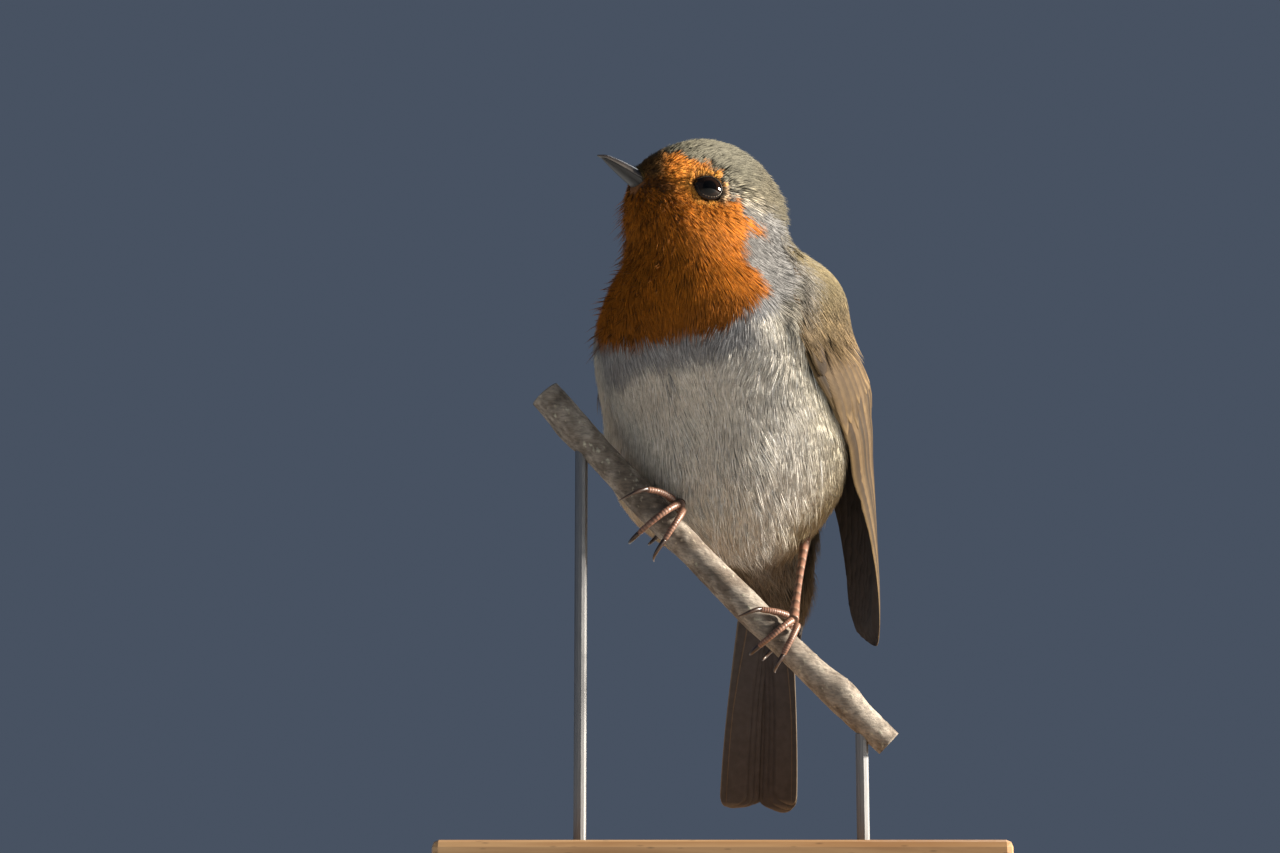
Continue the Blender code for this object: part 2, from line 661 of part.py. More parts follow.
BASE_SIZE = (100.0, 84.0, 8.0)
BASE_BEVEL = 1.2
ROD_X = (-26.0, 26.0)
ROD_RADIUS = 1.2
ROD_IN_PERCH = 0.9                         # how far above the bark's underside each rod ends
ROD_IN_BASE = 4.0


def rod(name, x, grow=0.0):
    """Upright steel rod from inside the base up into the perch."""
    middle = perch_point(x)
    _, over, _ = perch_frame(x)
    under = middle[2] - PERCH_RADIUS * MM / over[2]
    top = under + ROD_IN_PERCH * MM + grow
    bottom = (BASE_SIZE[2] - ROD_IN_BASE) * MM - grow
    points = np.array([[middle[0], middle[1], z] for z in np.linspace(bottom, top, 3)])
    return tube(name, points, np.full(3, ROD_RADIUS * MM), 12, ROD_STEEL, grow)


def make_stand():
    """Flat base with its edges eased, and two rods."""
    half = np.array(BASE_SIZE) * MM / 2.0
    corners = [(sx * half[0], sy * half[1], z) for z in (0.0, BASE_SIZE[2] * MM)
               for sx, sy in ((-1, -1), (1, -1), (1, 1), (-1, 1))]
    faces = [(0, 3, 2, 1), (4, 5, 6, 7), (0, 1, 5, 4), (1, 2, 6, 5), (2, 3, 7, 6), (3, 0, 4, 7)]
    base = add_object("stand_base", corners, faces, BASE_WOOD)
    bevel = base.modifiers.new("eased_edges", "BEVEL")
    bevel.width = BASE_BEVEL * MM
    bevel.segments = 2
    for number, x in enumerate(ROD_X):
        cut(base, cutter(rod("rod_socket_%d" % number, x, GAP)))
        rod("stand_rod_%s" % ("high" if number == 0 else "low"), x)


def main():
    for old in list(bpy.data.objects):
        bpy.data.objects.remove(old, do_unlink=True)
    make_head()
    make_neck()
    make_trunk()
    for word, side in (("left", 1.0), ("right", -1.0)):
        make_wing(word, side)
        tarsus("tarsus_" + word, side)
        make_foot(word, side)
    make_tail()
    make_perch()
    make_stand()


main()
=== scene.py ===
"""European robin, life size: the feathered skin, wings, tail, eyes, bill, legs, perch and stand.

Metres, +Z up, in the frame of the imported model. The trunk and the head each have axes of their own,
written as rows: front, left and up, where the trunk's "up" is its long axis from vent to neck.
Every grown surface is worked out with numpy as a function of two parameters.
"""
import json
import bpy
import numpy as np
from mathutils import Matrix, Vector

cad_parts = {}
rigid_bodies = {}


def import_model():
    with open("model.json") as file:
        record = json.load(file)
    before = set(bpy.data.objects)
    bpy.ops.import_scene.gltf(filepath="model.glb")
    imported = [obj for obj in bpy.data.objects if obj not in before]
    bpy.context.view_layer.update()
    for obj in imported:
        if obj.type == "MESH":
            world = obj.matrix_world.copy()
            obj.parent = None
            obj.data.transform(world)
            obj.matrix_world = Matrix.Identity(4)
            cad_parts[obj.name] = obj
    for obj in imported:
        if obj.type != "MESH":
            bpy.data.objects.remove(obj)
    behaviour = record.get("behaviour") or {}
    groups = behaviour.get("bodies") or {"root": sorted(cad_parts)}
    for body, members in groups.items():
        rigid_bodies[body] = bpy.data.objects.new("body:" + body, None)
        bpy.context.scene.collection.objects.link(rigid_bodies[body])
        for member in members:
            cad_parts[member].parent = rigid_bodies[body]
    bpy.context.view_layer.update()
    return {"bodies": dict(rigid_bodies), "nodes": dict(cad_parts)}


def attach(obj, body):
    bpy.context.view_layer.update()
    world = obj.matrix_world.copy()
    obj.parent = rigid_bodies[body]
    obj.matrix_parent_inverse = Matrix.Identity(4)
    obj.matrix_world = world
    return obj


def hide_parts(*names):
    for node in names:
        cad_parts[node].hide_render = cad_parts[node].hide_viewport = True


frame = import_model()
BODY = next(iter(frame["bodies"]))
NODES = frame["nodes"]

MM = 0.001
GAP = 0.40 * MM
RNG = np.random.default_rng(1758)


# ---------------------------------------------------------------- small geometry

def unit(vectors):
    """Vectors scaled to length one."""
    vectors = np.asarray(vectors, float)
    return vectors / np.maximum(np.linalg.norm(vectors, axis=-1, keepdims=True), 1e-12)


def axes(heading, pitch, roll):
    """Rows front, left, up. Heading turns the front from -Y towards -X; pitch raises the front.

    A positive roll lowers the left side.
    """
    h, p, r = np.radians([heading, pitch, roll])
    flat = np.array([-np.sin(h), -np.cos(h), 0.0])
    side = np.array([np.cos(h), -np.sin(h), 0.0])
    world_up = np.array([0.0, 0.0, 1.0])
    front = np.cos(p) * flat + np.sin(p) * world_up
    top = np.cos(p) * world_up - np.sin(p) * flat
    return np.array([front, np.cos(r) * side - np.sin(r) * top, np.cos(r) * top + np.sin(r) * side])


def place(centre, rows, offset):
    """World point at an offset in millimetres along the rows from a centre."""
    return centre + np.asarray(offset, float) * MM @ rows


def local(points, centre, rows):
    """The same points in millimetres along the rows from a centre."""
    return (points - centre) @ rows.T / MM


def split(points, frame_at):
    """The same, as three arrays: ahead, to the left and up in the frame of the trunk or head."""
    return np.moveaxis(local(points, *frame_at), -1, 0)


def smoothstep(x):
    """0 below 0, 1 above 1, and 3x^2 - 2x^3 between."""
    x = np.clip(x, 0.0, 1.0)
    return x * x * (3.0 - 2.0 * x)


def ramp(x, start, width):
    """The smooth step that begins at start and is a width long."""
    return smoothstep((x - start) / width)


def fall(x, end, width):
    """The smooth step down that is a width long and ends at end."""
    return smoothstep((end - x) / width)


def hill(*terms):
    """A Gaussian hill, e^-(sum of squares of (x - middle) / width), over terms (x, middle, width)."""
    return np.exp(-sum(((x - middle) / width) ** 2 for x, middle, width in terms))


def full_turn(count):
    """Angles spaced evenly round a circle."""
    return np.linspace(0.0, 2.0 * np.pi, count, endpoint=False)


def smooth_min(a, b, blend):
    """The lower of two fields, rounded where they are nearer than the blend length."""
    h = np.clip(0.5 + 0.5 * (b - a) / blend, 0.0, 1.0)
    return b * (1.0 - h) + a * h - blend * h * (1.0 - h)


def curve(x, stations, values):
    """Smooth curve through a few (station, value) pairs, with the mean slope at each station."""
    stations = np.asarray(stations, float)
    values = np.asarray(values, float)
    slopes = np.gradient(values, stations)
    x = np.clip(x, stations[0], stations[-1])
    i = np.clip(np.searchsorted(stations, x) - 1, 0, len(stations) - 2)
    width = stations[i + 1] - stations[i]
    t = (x - stations[i]) / width
    near = (1 + 2 * t) * (1 - t) ** 2 * values[i] + t * (1 - t) ** 2 * width * slopes[i]
    far = t * t * (3 - 2 * t) * values[i + 1] - t * t * (1 - t) * width * slopes[i + 1]
    return near + far


def noise(points, size, seed=0):
    """Random numbers from -1 to 1 at the corners of a cubic lattice, blended smoothly between them."""
    scaled = points / size
    corner = np.floor(scaled).astype(np.int64)
    part = scaled - corner
    part = part * part * (3.0 - 2.0 * part)
    total = np.zeros(points.shape[:-1])
    for dx in (0, 1):
        for dy in (0, 1):
            for dz in (0, 1):
                x, y, z = corner[..., 0] + dx, corner[..., 1] + dy, corner[..., 2] + dz
                mixed = (x * 374761393 + y * 668265263 + z * 1440662683 + seed * 69069) & 0xFFFFFFFF
                mixed = ((mixed ^ (mixed >> 13)) * 1274126177) & 0xFFFFFFFF
                value = ((mixed ^ (mixed >> 16)) & 0xFFFF) / 32767.5 - 1.0
                wx = part[..., 0] if dx else 1.0 - part[..., 0]
                wy = part[..., 1] if dy else 1.0 - part[..., 1]
                wz = part[..., 2] if dz else 1.0 - part[..., 2]
                total += value * wx * wy * wz
    return total


def mix(a, b, share):
    """Row by row, a where the share is 0 and b where it is 1."""
    share = np.asarray(share)[..., None]
    return a * (1.0 - share) + b * share


def linear(code):
    """An sRGB hex colour such as "c8641e" as three linear numbers."""
    value = np.array([int(code[i:i + 2], 16) for i in (0, 2, 4)]) / 255.0
    return np.where(value <= 0.04045, value / 12.92, ((value + 0.055) / 1.055) ** 2.4)


# ---------------------------------------------------------------- pose and body form, as in the CAD

TRUNK_CENTRE = np.array([3.0, 0.0, 89.0]) * MM
TRUNK_AXES = axes(22.0, -18.0, -5.0)
HEAD_CENTRE = np.array([-3.0, -13.0, 130.5]) * MM
HEAD_AXES = axes(60.0, 20.0, 8.0)
TRUNK = (TRUNK_CENTRE, TRUNK_AXES)
HEAD = (HEAD_CENTRE, HEAD_AXES)

TRUNK_FORMS = (
    ((0.0, -1.0, 1.0), (21.5, 24.5, 28.0)),      # rib cage
    ((3.0, -1.6, -7.0), (18.0, 23.0, 18.0)),     # belly
    ((4.4, -2.0, 16.5), (20.0, 20.5, 18.3)),     # breast
    ((-6.0, 1.0, 19.0), (14.0, 22.0, 15.0)),     # mantle
    ((-9.0, -1.0, -12.0), (11.0, 13.0, 20.0)),   # rump
    ((-10.0, -3.0, -27.0), (7.0, 9.2, 18.0)),    # vent and tail coverts
    ((2.5, -1.0, 27.0), (14.0, 14.0, 13.0)),     # neck
)
HEAD_FORMS = (
    ((-2.0, 0.0, 0.2), (13.5, 11.2, 11.2)),      # skull
    ((-5.5, 0.0, -3.0), (10.3, 10.8, 9.0)),      # nape
    ((6.8, 0.0, -3.2), (7.5, 6.8, 5.8)),         # forehead and lores
    ((0.3, 0.0, -7.8), (10.3, 11.0, 8.3)),       # cheeks and throat
)
FORM_BLEND = 6.0 * MM
NECK_BLEND = 8.0 * MM

PATH_LOW = (-4.0, -1.5, -18.0)
PATH_MID = (0.0, 0.0, 20.0)
CAST_REACH = 65.0 * MM
CAST_HALVINGS = 22


def ellipsoid_field(points, centre, rows, half):
    """Signed distance to an ellipsoid, near enough close to its surface, and negative inside."""
    half = np.asarray(half) * MM
    offset = (points - centre) @ rows.T
    k0 = np.linalg.norm(offset / half, axis=-1)
    k1 = np.linalg.norm(offset / half ** 2, axis=-1)
    return k0 * (k0 - 1.0) / np.maximum(k1, 1e-9)


def body_field(points):
    """Signed distance to the whole feathered body, the smooth union of its forms."""
    field = None
    for centre, half in TRUNK_FORMS:
        form = ellipsoid_field(points, place(*TRUNK, centre), TRUNK_AXES, half)
        field = form if field is None else smooth_min(field, form, FORM_BLEND)
    blend = NECK_BLEND
    for centre, half in HEAD_FORMS:
        form = ellipsoid_field(points, place(*HEAD, centre), HEAD_AXES, half)
        field = smooth_min(field, form, blend)
        blend = FORM_BLEND
    return field


def cast(origins, directions):
    """How far rays from inside run to the body's surface, by halving between inside and outside."""
    near = np.zeros(directions.shape[:-1])
    far = np.full(directions.shape[:-1], CAST_REACH)
    for _ in range(CAST_HALVINGS):
        middle = (near + far) / 2.0
        inside = body_field(origins + middle[..., None] * directions) < 0.0
        near = np.where(inside, middle, near)
        far = np.where(inside, far, middle)
    return near


def hit(origins, directions):
    """The points of the body's surface where those rays leave it."""
    return origins + cast(origins, directions)[..., None] * directions


def chart(t, turn):
    """Point of the body's surface at t, from 0 at the vent to 1 at the crown, and at a turn round it.

    The origin moves on a bent line from vent to crown, and rays from it rise from straight down to
    straight up, so both ends close to a point.
    """
    low = place(*TRUNK, PATH_LOW)
    mid = place(*TRUNK, PATH_MID)
    s = ramp(t, 0.08, 0.80)[..., None]
    origin = (1 - s) ** 2 * low + 2 * s * (1 - s) * mid + s * s * HEAD_CENTRE
    rise = np.radians(90.0) * (ramp(t, 0.62, 0.38) - 1.0 + smoothstep(t / 0.45))[..., None]
    w = ramp(t, 0.40, 0.45)[..., None, None]
    mixed = (1 - w) * TRUNK_AXES + w * HEAD_AXES
    up = unit(mixed[..., 2, :])
    front = unit(mixed[..., 0, :] - up * np.sum(mixed[..., 0, :] * up, axis=-1, keepdims=True))
    left = np.cross(up, front)
    level = np.cos(turn)[..., None] * front + np.sin(turn)[..., None] * left
    way = np.cos(rise) * level + np.sin(rise) * up
    return hit(origin, way)


def on_body(points):
    """The nearest points of the body's surface, by two Newton steps on its field, and their normals."""
    step = 0.05 * MM
    for _ in range(2):
        value = body_field(points)
        slope = np.stack([body_field(points + step * axis) - value for axis in np.eye(3)], axis=-1) / step
        steep = np.maximum(np.sum(slope ** 2, axis=-1), 0.2)
        points = points - (value / steep)[..., None] * slope
    return points, unit(slope)


# ---------------------------------------------------------------- meshes

class Shell:
    """Points and faces of one or more closed skins, with a colour and two map places for each point."""

    def __init__(self, points, corners, sizes, colour=None, bake=None, strip=None):
        self.points = np.asarray(points, float).reshape(-1, 3)
        count = len(self.points)
        self.corners = np.asarray(corners, np.int64).ravel()
        self.sizes = np.asarray(sizes, np.int64).ravel()
        self.colour = np.ones((count, 3)) if colour is None else np.asarray(colour, float).reshape(-1, 3)
        self.bake = None if bake is None else np.asarray(bake, float).reshape(-1, 2)
        self.strip = None if strip is None else np.asarray(strip, float).reshape(-1, 2)


def join(shells):
    """Several shells as one, each one's corners counted on from the last."""
    starts = np.cumsum([0] + [len(s.points) for s in shells[:-1]])
    corners = np.concatenate([s.corners + start for s, start in zip(shells, starts)])
    maps = []
    for word in ("bake", "strip"):
        parts = [getattr(s, word) for s in shells]
        maps.append(None if any(p is None for p in parts) else np.concatenate(parts))
    return Shell(np.concatenate([s.points for s in shells]), corners,
                 np.concatenate([s.sizes for s in shells]),
                 np.concatenate([s.colour for s in shells]), maps[0], maps[1])


def add_map(mesh, name, places):
    """A UV map that gives every corner its point's place."""
    layer = mesh.uv_layers.new(name=name)
    corner_points = np.empty(len(mesh.loops), np.int32)
    mesh.loops.foreach_get("vertex_index", corner_points)
    layer.data.foreach_set("uv", places[corner_points].astype(np.float32).ravel())


def build(name, shell, finish):
    """One object at the origin from a shell, riding on the body, with its material."""
    mesh = bpy.data.meshes.new(name)
    mesh.vertices.add(len(shell.points))
    mesh.vertices.foreach_set("co", shell.points.astype(np.float32).ravel())
    mesh.loops.add(len(shell.corners))
    mesh.loops.foreach_set("vertex_index", shell.corners.astype(np.int32))
    mesh.polygons.add(len(shell.sizes))
    starts = np.concatenate([[0], np.cumsum(shell.sizes)[:-1]]).astype(np.int32)
    mesh.polygons.foreach_set("loop_start", starts)
    mesh.polygons.foreach_set("use_smooth", np.full(len(shell.sizes), True))
    mesh.update(calc_edges=True)
    colour = mesh.attributes.new("Tint", "FLOAT_COLOR", "POINT")
    four = np.ones((len(shell.points), 4), np.float32)
    four[:, :3] = shell.colour
    colour.data.foreach_set("color", four.ravel())
    if shell.bake is not None:
        add_map(mesh, "OFBake", shell.bake)
    if shell.strip is not None:
        add_map(mesh, "Strip", shell.strip)
    mesh.materials.append(finish)
    piece = bpy.data.objects.new(name, mesh)
    bpy.context.scene.collection.objects.link(piece)
    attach(piece, BODY)
    return piece


def ring_faces(rings, around):
    """Corners and sizes for rings of points with one more point at each end."""
    i, j = np.meshgrid(np.arange(rings - 1), np.arange(around), indexing="ij")
    k = (j + 1) % around
    quads = np.stack([i * around + j, i * around + k, (i + 1) * around + k, (i + 1) * around + j], axis=-1)
    j = np.arange(around)
    k = (j + 1) % around
    first, last, top = rings * around, rings * around + 1, (rings - 1) * around
    low = np.stack([0 * j + first, k, j], axis=-1)
    high = np.stack([0 * j + last, top + j, top + k], axis=-1)
    sizes = np.repeat([4, 3], [(rings - 1) * around, 2 * around])
    return np.concatenate([quads.ravel(), low.ravel(), high.ravel()]), sizes


def outward(points, corners, sizes):
    """The corners, turned round if the faces' signed volume says that they point inwards."""
    starts = np.concatenate([[0], np.cumsum(sizes)[:-1]])
    a = points[corners[starts]]
    b = points[corners[starts + 1]]
    c = points[corners[starts + 2]]
    volume = np.sum(a * np.cross(b, c))
    quads = sizes == 4
    d = points[corners[starts[quads] + 3]]
    volume += np.sum(a[quads] * np.cross(c[quads], d))
    if volume >= 0.0:
        return corners
    turned = corners.copy()
    for size in np.unique(sizes):
        here = starts[sizes == size][:, None] + np.arange(size)
        turned[here] = corners[here[:, ::-1]]
    return turned


def ring_shell(rings, colour=None, ends=None):
    """Closed shell from rings of points (count, around, 3); its ends close to their middles or as given."""
    count, around = rings.shape[:2]
    first, last = (rings[0].mean(axis=0), rings[-1].mean(axis=0)) if ends is None else ends
    points = np.vstack([rings.reshape(-1, 3), first, last])
    corners, sizes = ring_faces(count, around)
    corners = outward(points, corners, sizes)
    if colour is not None:
        colour = np.asarray(colour, float)
        tips = np.stack([colour[0].mean(axis=0), colour[-1].mean(axis=0)])
        colour = np.vstack([colour.reshape(-1, 3), tips])
    return Shell(points, corners, sizes, colour)


def plate_faces(rows, columns):
    """Corners of a closed plate: an under grid, an upper grid, and a strip along the four sides."""
    i, j = np.meshgrid(np.arange(rows - 1), np.arange(columns - 1), indexing="ij")
    a = (i * columns + j).ravel()
    size = rows * columns
    under = np.stack([a, a + columns, a + columns + 1, a + 1], axis=-1)
    over = size + under[:, ::-1]
    rim = np.concatenate([np.arange(columns), np.arange(1, rows) * columns + columns - 1,
                          (rows - 1) * columns + np.arange(columns - 2, -1, -1),
                          np.arange(rows - 2, 0, -1) * columns])
    after = np.roll(rim, -1)
    side = np.stack([rim, after, size + after, size + rim], axis=-1)
    return np.vstack([under, over, side])


def plates_shell(under, over, colour, bake=None, strip=None, below=None):
    """Many closed plates as one shell, from grids (plates, rows, columns, 3) of their two faces."""
    below = colour if below is None else below
    plates, rows, columns = under.shape[:3]
    points = np.concatenate([under, over], axis=1).reshape(plates, -1, 3)
    template = plate_faces(rows, columns)
    turned = outward(points[0], template.ravel(), np.full(len(template), 4)).reshape(-1, 4)
    corners = turned[None] + (np.arange(plates) * 2 * rows * columns)[:, None, None]

    def both(low, high):
        return None if high is None else np.concatenate([low, high], axis=1).reshape(-1, high.shape[-1])

    return Shell(points.reshape(-1, 3), corners.ravel(), np.full(corners.shape[0] * corners.shape[1], 4),
                 both(below, colour), both(bake, bake), both(strip, strip))


SIDE_REFERENCE = unit(np.array([0.31, 0.87, 0.38]))


def tube_shell(points, radii, around, colour):
    """Closed round rod along a path: rings square to it, one radius for each, and flat ends."""
    along = unit(np.gradient(points, axis=0))
    side = unit(np.cross(along, SIDE_REFERENCE))
    over = np.cross(side, along)
    turn = full_turn(around)[None, :, None]
    spread = np.cos(turn) * side[:, None] + np.sin(turn) * over[:, None]
    return ring_shell(points[:, None] + radii[:, None, None] * spread, colour)


# ---------------------------------------------------------------- materials

def plug(tree, made, inputs):
    """Sets a node's inputs by name: a value on the socket itself, or a link from another's output."""
    for key, value in inputs.items():
        socket = made.inputs[key]
        if isinstance(value, bpy.types.NodeSocket):
            tree.links.new(value, socket)
        else:
            socket.default_value = value


def node(tree, kind, inputs=None, **settings):
    """Adds one node: settings are its own properties, inputs are values or output sockets by name."""
    made = tree.nodes.new(kind)
    for key, value in settings.items():
        setattr(made, key, value)
    plug(tree, made, inputs or {})
    return made


def rgba(code):
    """An sRGB hex colour as a socket's four linear numbers."""
    return (*linear(code), 1.0)


def blank(name):
    """A new material and its tree."""
    made = bpy.data.materials.new(name)
    made.use_nodes = True
    return made, made.node_tree


def settle(made, inputs, relief=None):
    """Ends a material: its shader's inputs, and a relief of (height, strength, depth in metres)."""
    tree = made.node_tree
    shader = tree.nodes["Principled BSDF"]
    plug(tree, shader, inputs)
    if relief is not None:
        bump = node(tree, "ShaderNodeBump", dict(zip(("Height", "Strength", "Distance"), relief)))
        plug(tree, shader, {"Normal": bump.outputs["Normal"]})
    return made


def pattern(tree, kind, scale, stretch=None, turn=(0.0, 0.0, 0.0), **inputs):
    """A texture on the piece's own coordinates, which are stretched and turned first if told to."""
    here = node(tree, "ShaderNodeTexCoord").outputs["Object"]
    if stretch is not None:
        placed = node(tree, "ShaderNodeMapping", {"Vector": here, "Rotation": turn, "Scale": stretch})
        here = placed.outputs["Vector"]
    return node(tree, kind, {"Vector": here, "Scale": scale, **inputs})


def shaded(tree, colour, value, low, high, dark, bright):
    """A colour times a strength that goes from dark to bright as a pattern's value goes low to high."""
    strength = node(tree, "ShaderNodeMapRange", {"Value": value, "From Min": low, "From Max": high,
                                                 "To Min": dark, "To Max": bright})
    lit = node(tree, "ShaderNodeVectorMath", {0: colour, "Scale": strength.outputs["Result"]},
               operation="SCALE")
    return lit.outputs["Vector"]


def tinted(tree, dark, bright, scale, detail=3.0):
    """The piece's own tint, made darker and brighter by a noise."""
    tint = node(tree, "ShaderNodeAttribute", attribute_name="Tint")
    cloud = pattern(tree, "ShaderNodeTexNoise", scale, Detail=detail)
    return shaded(tree, tint.outputs["Color"], cloud.outputs["Fac"], 0.3, 0.7, dark, bright)


def toned(tree, value, dark, bright, low=0.0, high=1.0):
    """A colour between two hex codes, as a pattern's value goes from low to high."""
    tone = node(tree, "ShaderNodeValToRGB", {"Fac": value})
    for element, position, code in zip(tone.color_ramp.elements, (low, high), (dark, bright)):
        element.position = position
        element.color = rgba(code)
    return tone.outputs["Color"]


def down_finish():
    """Soft contour feathers: matt barbs with a faint bloom of sheen, tinted strand by strand."""
    made, tree = blank("feather_barbs")
    return settle(made, {"Base Color": tinted(tree, 0.88, 1.12, 900.0), "Roughness": 0.62,
                         "Specular IOR Level": 0.14, "Sheen Weight": 0.05, "Sheen Roughness": 0.45})


def skin_finish():
    """Down under the contour feathers: the same markings, mottled at half a millimetre."""
    made, tree = blank("feather_down")
    fluff = pattern(tree, "ShaderNodeTexNoise", 2500.0, Detail=2.0)
    return settle(made, {"Base Color": tinted(tree, 0.7, 1.1, 1600.0), "Roughness": 0.9},
                  (fluff.outputs["Fac"], 0.6, 0.0003))


def vane_finish():
    """Closed vanes of flight feathers: satin keratin barbs every 0.35 mm, slanting off the shaft.

    Real barbs are 0.1 mm apart; they are drawn wider apart so that they show.
    """
    made, tree = blank("feather_vane")
    strip = node(tree, "ShaderNodeUVMap", uv_map="Strip")
    parts = node(tree, "ShaderNodeSeparateXYZ", {"Vector": strip.outputs["UV"]})
    away = node(tree, "ShaderNodeMath", {0: parts.outputs["X"]}, operation="ABSOLUTE")
    slant = node(tree, "ShaderNodeMath", {0: away.outputs["Value"], 1: -1.5, 2: parts.outputs["Y"]},
                 operation="MULTIPLY_ADD")
    count = node(tree, "ShaderNodeMath", {0: slant.outputs["Value"], 1: 18.0}, operation="MULTIPLY")
    ridge = node(tree, "ShaderNodeMath", {0: count.outputs["Value"]}, operation="SINE").outputs["Value"]
    barred = shaded(tree, tinted(tree, 0.86, 1.14, 700.0), ridge, -1.0, 1.0, 0.9, 1.08)
    return settle(made, {"Base Color": barred, "Roughness": 0.58, "Specular IOR Level": 0.14},
                  (ridge, 0.45, 0.00006))


def horn_finish(name, roughness, grain):
    """Keratin horn of bill or claws: smooth, satin, with fine growth streaks."""
    made, tree = blank(name)
    fine = pattern(tree, "ShaderNodeTexNoise", 2200.0, Detail=4.0)
    return settle(made, {"Base Color": tinted(tree, 0.8, 1.2, grain, 4.0), "Roughness": roughness,
                         "Coat Weight": 0.2, "Coat Roughness": 0.22, "IOR": 1.54},
                  (fine.outputs["Fac"], 0.25, 0.00008))


def eye_finish():
    """Wet cornea over a dark brown iris: near-black and mirror smooth."""
    made, tree = blank("eye_wet")
    tint = node(tree, "ShaderNodeAttribute", attribute_name="Tint")
    return settle(made, {"Base Color": tint.outputs["Color"], "Roughness": 0.03, "IOR": 1.35})


def lid_finish():
    """Bare skin of the eyelids: soft, beaded, slightly moist."""
    made, tree = blank("lid_skin")
    return settle(made, {"Base Color": tinted(tree, 0.75, 1.25, 2500.0), "Roughness": 0.5})


def scale_finish():
    """Scaled skin of the legs: translucent pinkish-brown plates with a satin shine on their edges."""
    made, tree = blank("leg_scales")
    pores = pattern(tree, "ShaderNodeTexVoronoi", 3000.0)
    return settle(made, {"Base Color": tinted(tree, 0.8, 1.2, 1500.0), "Roughness": 0.38,
                         "Specular IOR Level": 0.6}, (pores.outputs["Distance"], 0.25, 0.00005))


def bark_finish():
    """Young bark: grey-brown, with fine cracks along the branch, which falls at 46 degrees."""
    made, tree = blank("young_bark")
    cracks = pattern(tree, "ShaderNodeTexNoise", 1500.0, (0.35, 1.6, 1.6),
                     (0.0, np.radians(46.0), 0.0), Detail=5.0, Roughness=0.65).outputs["Fac"]
    lined = shaded(tree, tinted(tree, 0.72, 1.22, 420.0, 6.0), cracks, 0.35, 0.6, 0.62, 1.12)
    return settle(made, {"Base Color": lined, "Roughness": 0.86}, (cracks, 0.7, 0.00025))


def beech_finish():
    """Oiled beech: straight pale grain along X, with short dark flecks 2 mm long."""
    made, tree = blank("oiled_beech")
    grain = pattern(tree, "ShaderNodeTexNoise", 420.0, (0.06, 1.0, 1.0), Detail=6.0,
                    Distortion=0.4).outputs["Fac"]
    fleck = pattern(tree, "ShaderNodeTexVoronoi", 900.0, (0.25, 1.0, 1.0))
    wood = shaded(tree, toned(tree, grain, "a97f55", "cfa97c", 0.32, 0.68), fleck.outputs["Distance"],
                  0.05, 0.2, 0.6, 1.0)
    return settle(made, {"Base Color": wood, "Roughness": 0.42, "Coat Weight": 0.15,
                         "Coat Roughness": 0.3}, (grain, 0.15, 0.0001))


def steel_finish():
    """Drawn steel rod: bright metal with fine lengthwise drawing lines."""
    made, tree = blank("drawn_steel")
    lines = pattern(tree, "ShaderNodeTexNoise", 9000.0, (1.0, 1.0, 0.03), Detail=3.0).outputs["Fac"]
    rough = node(tree, "ShaderNodeMapRange", {"Value": lines, "To Min": 0.36, "To Max": 0.5})
    return settle(made, {"Base Color": toned(tree, lines, "77787a", "a3a4a6"),
                         "Roughness": rough.outputs["Result"], "Metallic": 1.0})


BARBS = down_finish()
DOWN = skin_finish()
VANE = vane_finish()
BILL_HORN = horn_finish("bill_horn", 0.30, 1200.0)
CLAW_HORN = horn_finish("claw_horn", 0.34, 1600.0)
WET_EYE = eye_finish()
LID_SKIN = lid_finish()
LEG_SCALES = scale_finish()
YOUNG_BARK = bark_finish()
OILED_BEECH = beech_finish()
DRAWN_STEEL = steel_finish()

# ---------------------------------------------------------------- markings

ORANGE = linear("a05f12")
# darker orange for the bib's lower part: painted shade under the head
ORANGE_PAINTED_SHADE = linear("74430d")
# paler orange round the eyes and between bill and eye: partly paler feathers, partly painted highlight
ORANGE_PALE = linear("c9913f")
SLATE = linear("7f8187")
OLIVE = linear("756a4f")
CROWN = linear("514f44")
NAPE = linear("534d3e")
WHITE = linear("ece7dc")
CREAM = linear("e6dbbd")
BUFF = linear("a08d5a")
# buff of the vent and under-tail coverts, darkened as painted shade under the body
VENT_BUFF_IN_PAINTED_SHADE = linear("5a4d3e")
# dark brown along the gape: partly dark lore feathers, partly painted shade under the bill
LORES = linear("2e1c0f")
UNDER_DOWN = linear("5a5754")
EAR_DARK = linear("4c463a")
# dark brown at the bill's base: partly dark feathering, partly painted shade of the face's front
FOREHEAD = linear("54442b")
EAR_PALE = linear("b4aa95")

EYE_SEAT = (3.4, 9.9, -1.5)
EYE_HALF = (3.10, 2.65, 2.0)
EYE_TURN = 16.0
EYE_RIM = 2.6                          # how far from an eye's middle the coat begins
BILL_BASE = place(*HEAD, (10.5, 0.0, -3.6))
SIDES = {"left": 1.0, "right": -1.0}

# the side edge of the orange bib: heights along the trunk and how far forward it lies there
BIB_HEIGHT = (18.0, 19.0, 20.8, 22.4, 24.6, 27.2, 29.8, 32.0, 40.0)
BIB_EDGE = (25.0, 19.4, 16.0, 12.6, 9.2, 9.4, 9.4, 8.6, 8.2)


def eye_rows(side):
    """Axes of an eye: along the face, up, and out of the head."""
    front, left, up = HEAD_AXES
    turn = np.radians(EYE_TURN)
    out = side * left * np.cos(turn) + front * np.sin(turn)
    along = front * np.cos(turn) - side * left * np.sin(turn)
    return np.array([along, up, out])


def eye_centre(side):
    """Middle of an eye."""
    return place(*HEAD, (EYE_SEAT[0], side * EYE_SEAT[1], EYE_SEAT[2]))


def near_eye(points):
    """Place beside the nearer eye, in millimetres: along the face, up and out."""
    side = np.where(local(points, *HEAD)[..., 1] > 0.0, 1.0, -1.0)[..., None]
    left = local(points, eye_centre(1.0), eye_rows(1.0))
    right = local(points, eye_centre(-1.0), eye_rows(-1.0))
    return np.where(side > 0.0, left, right)


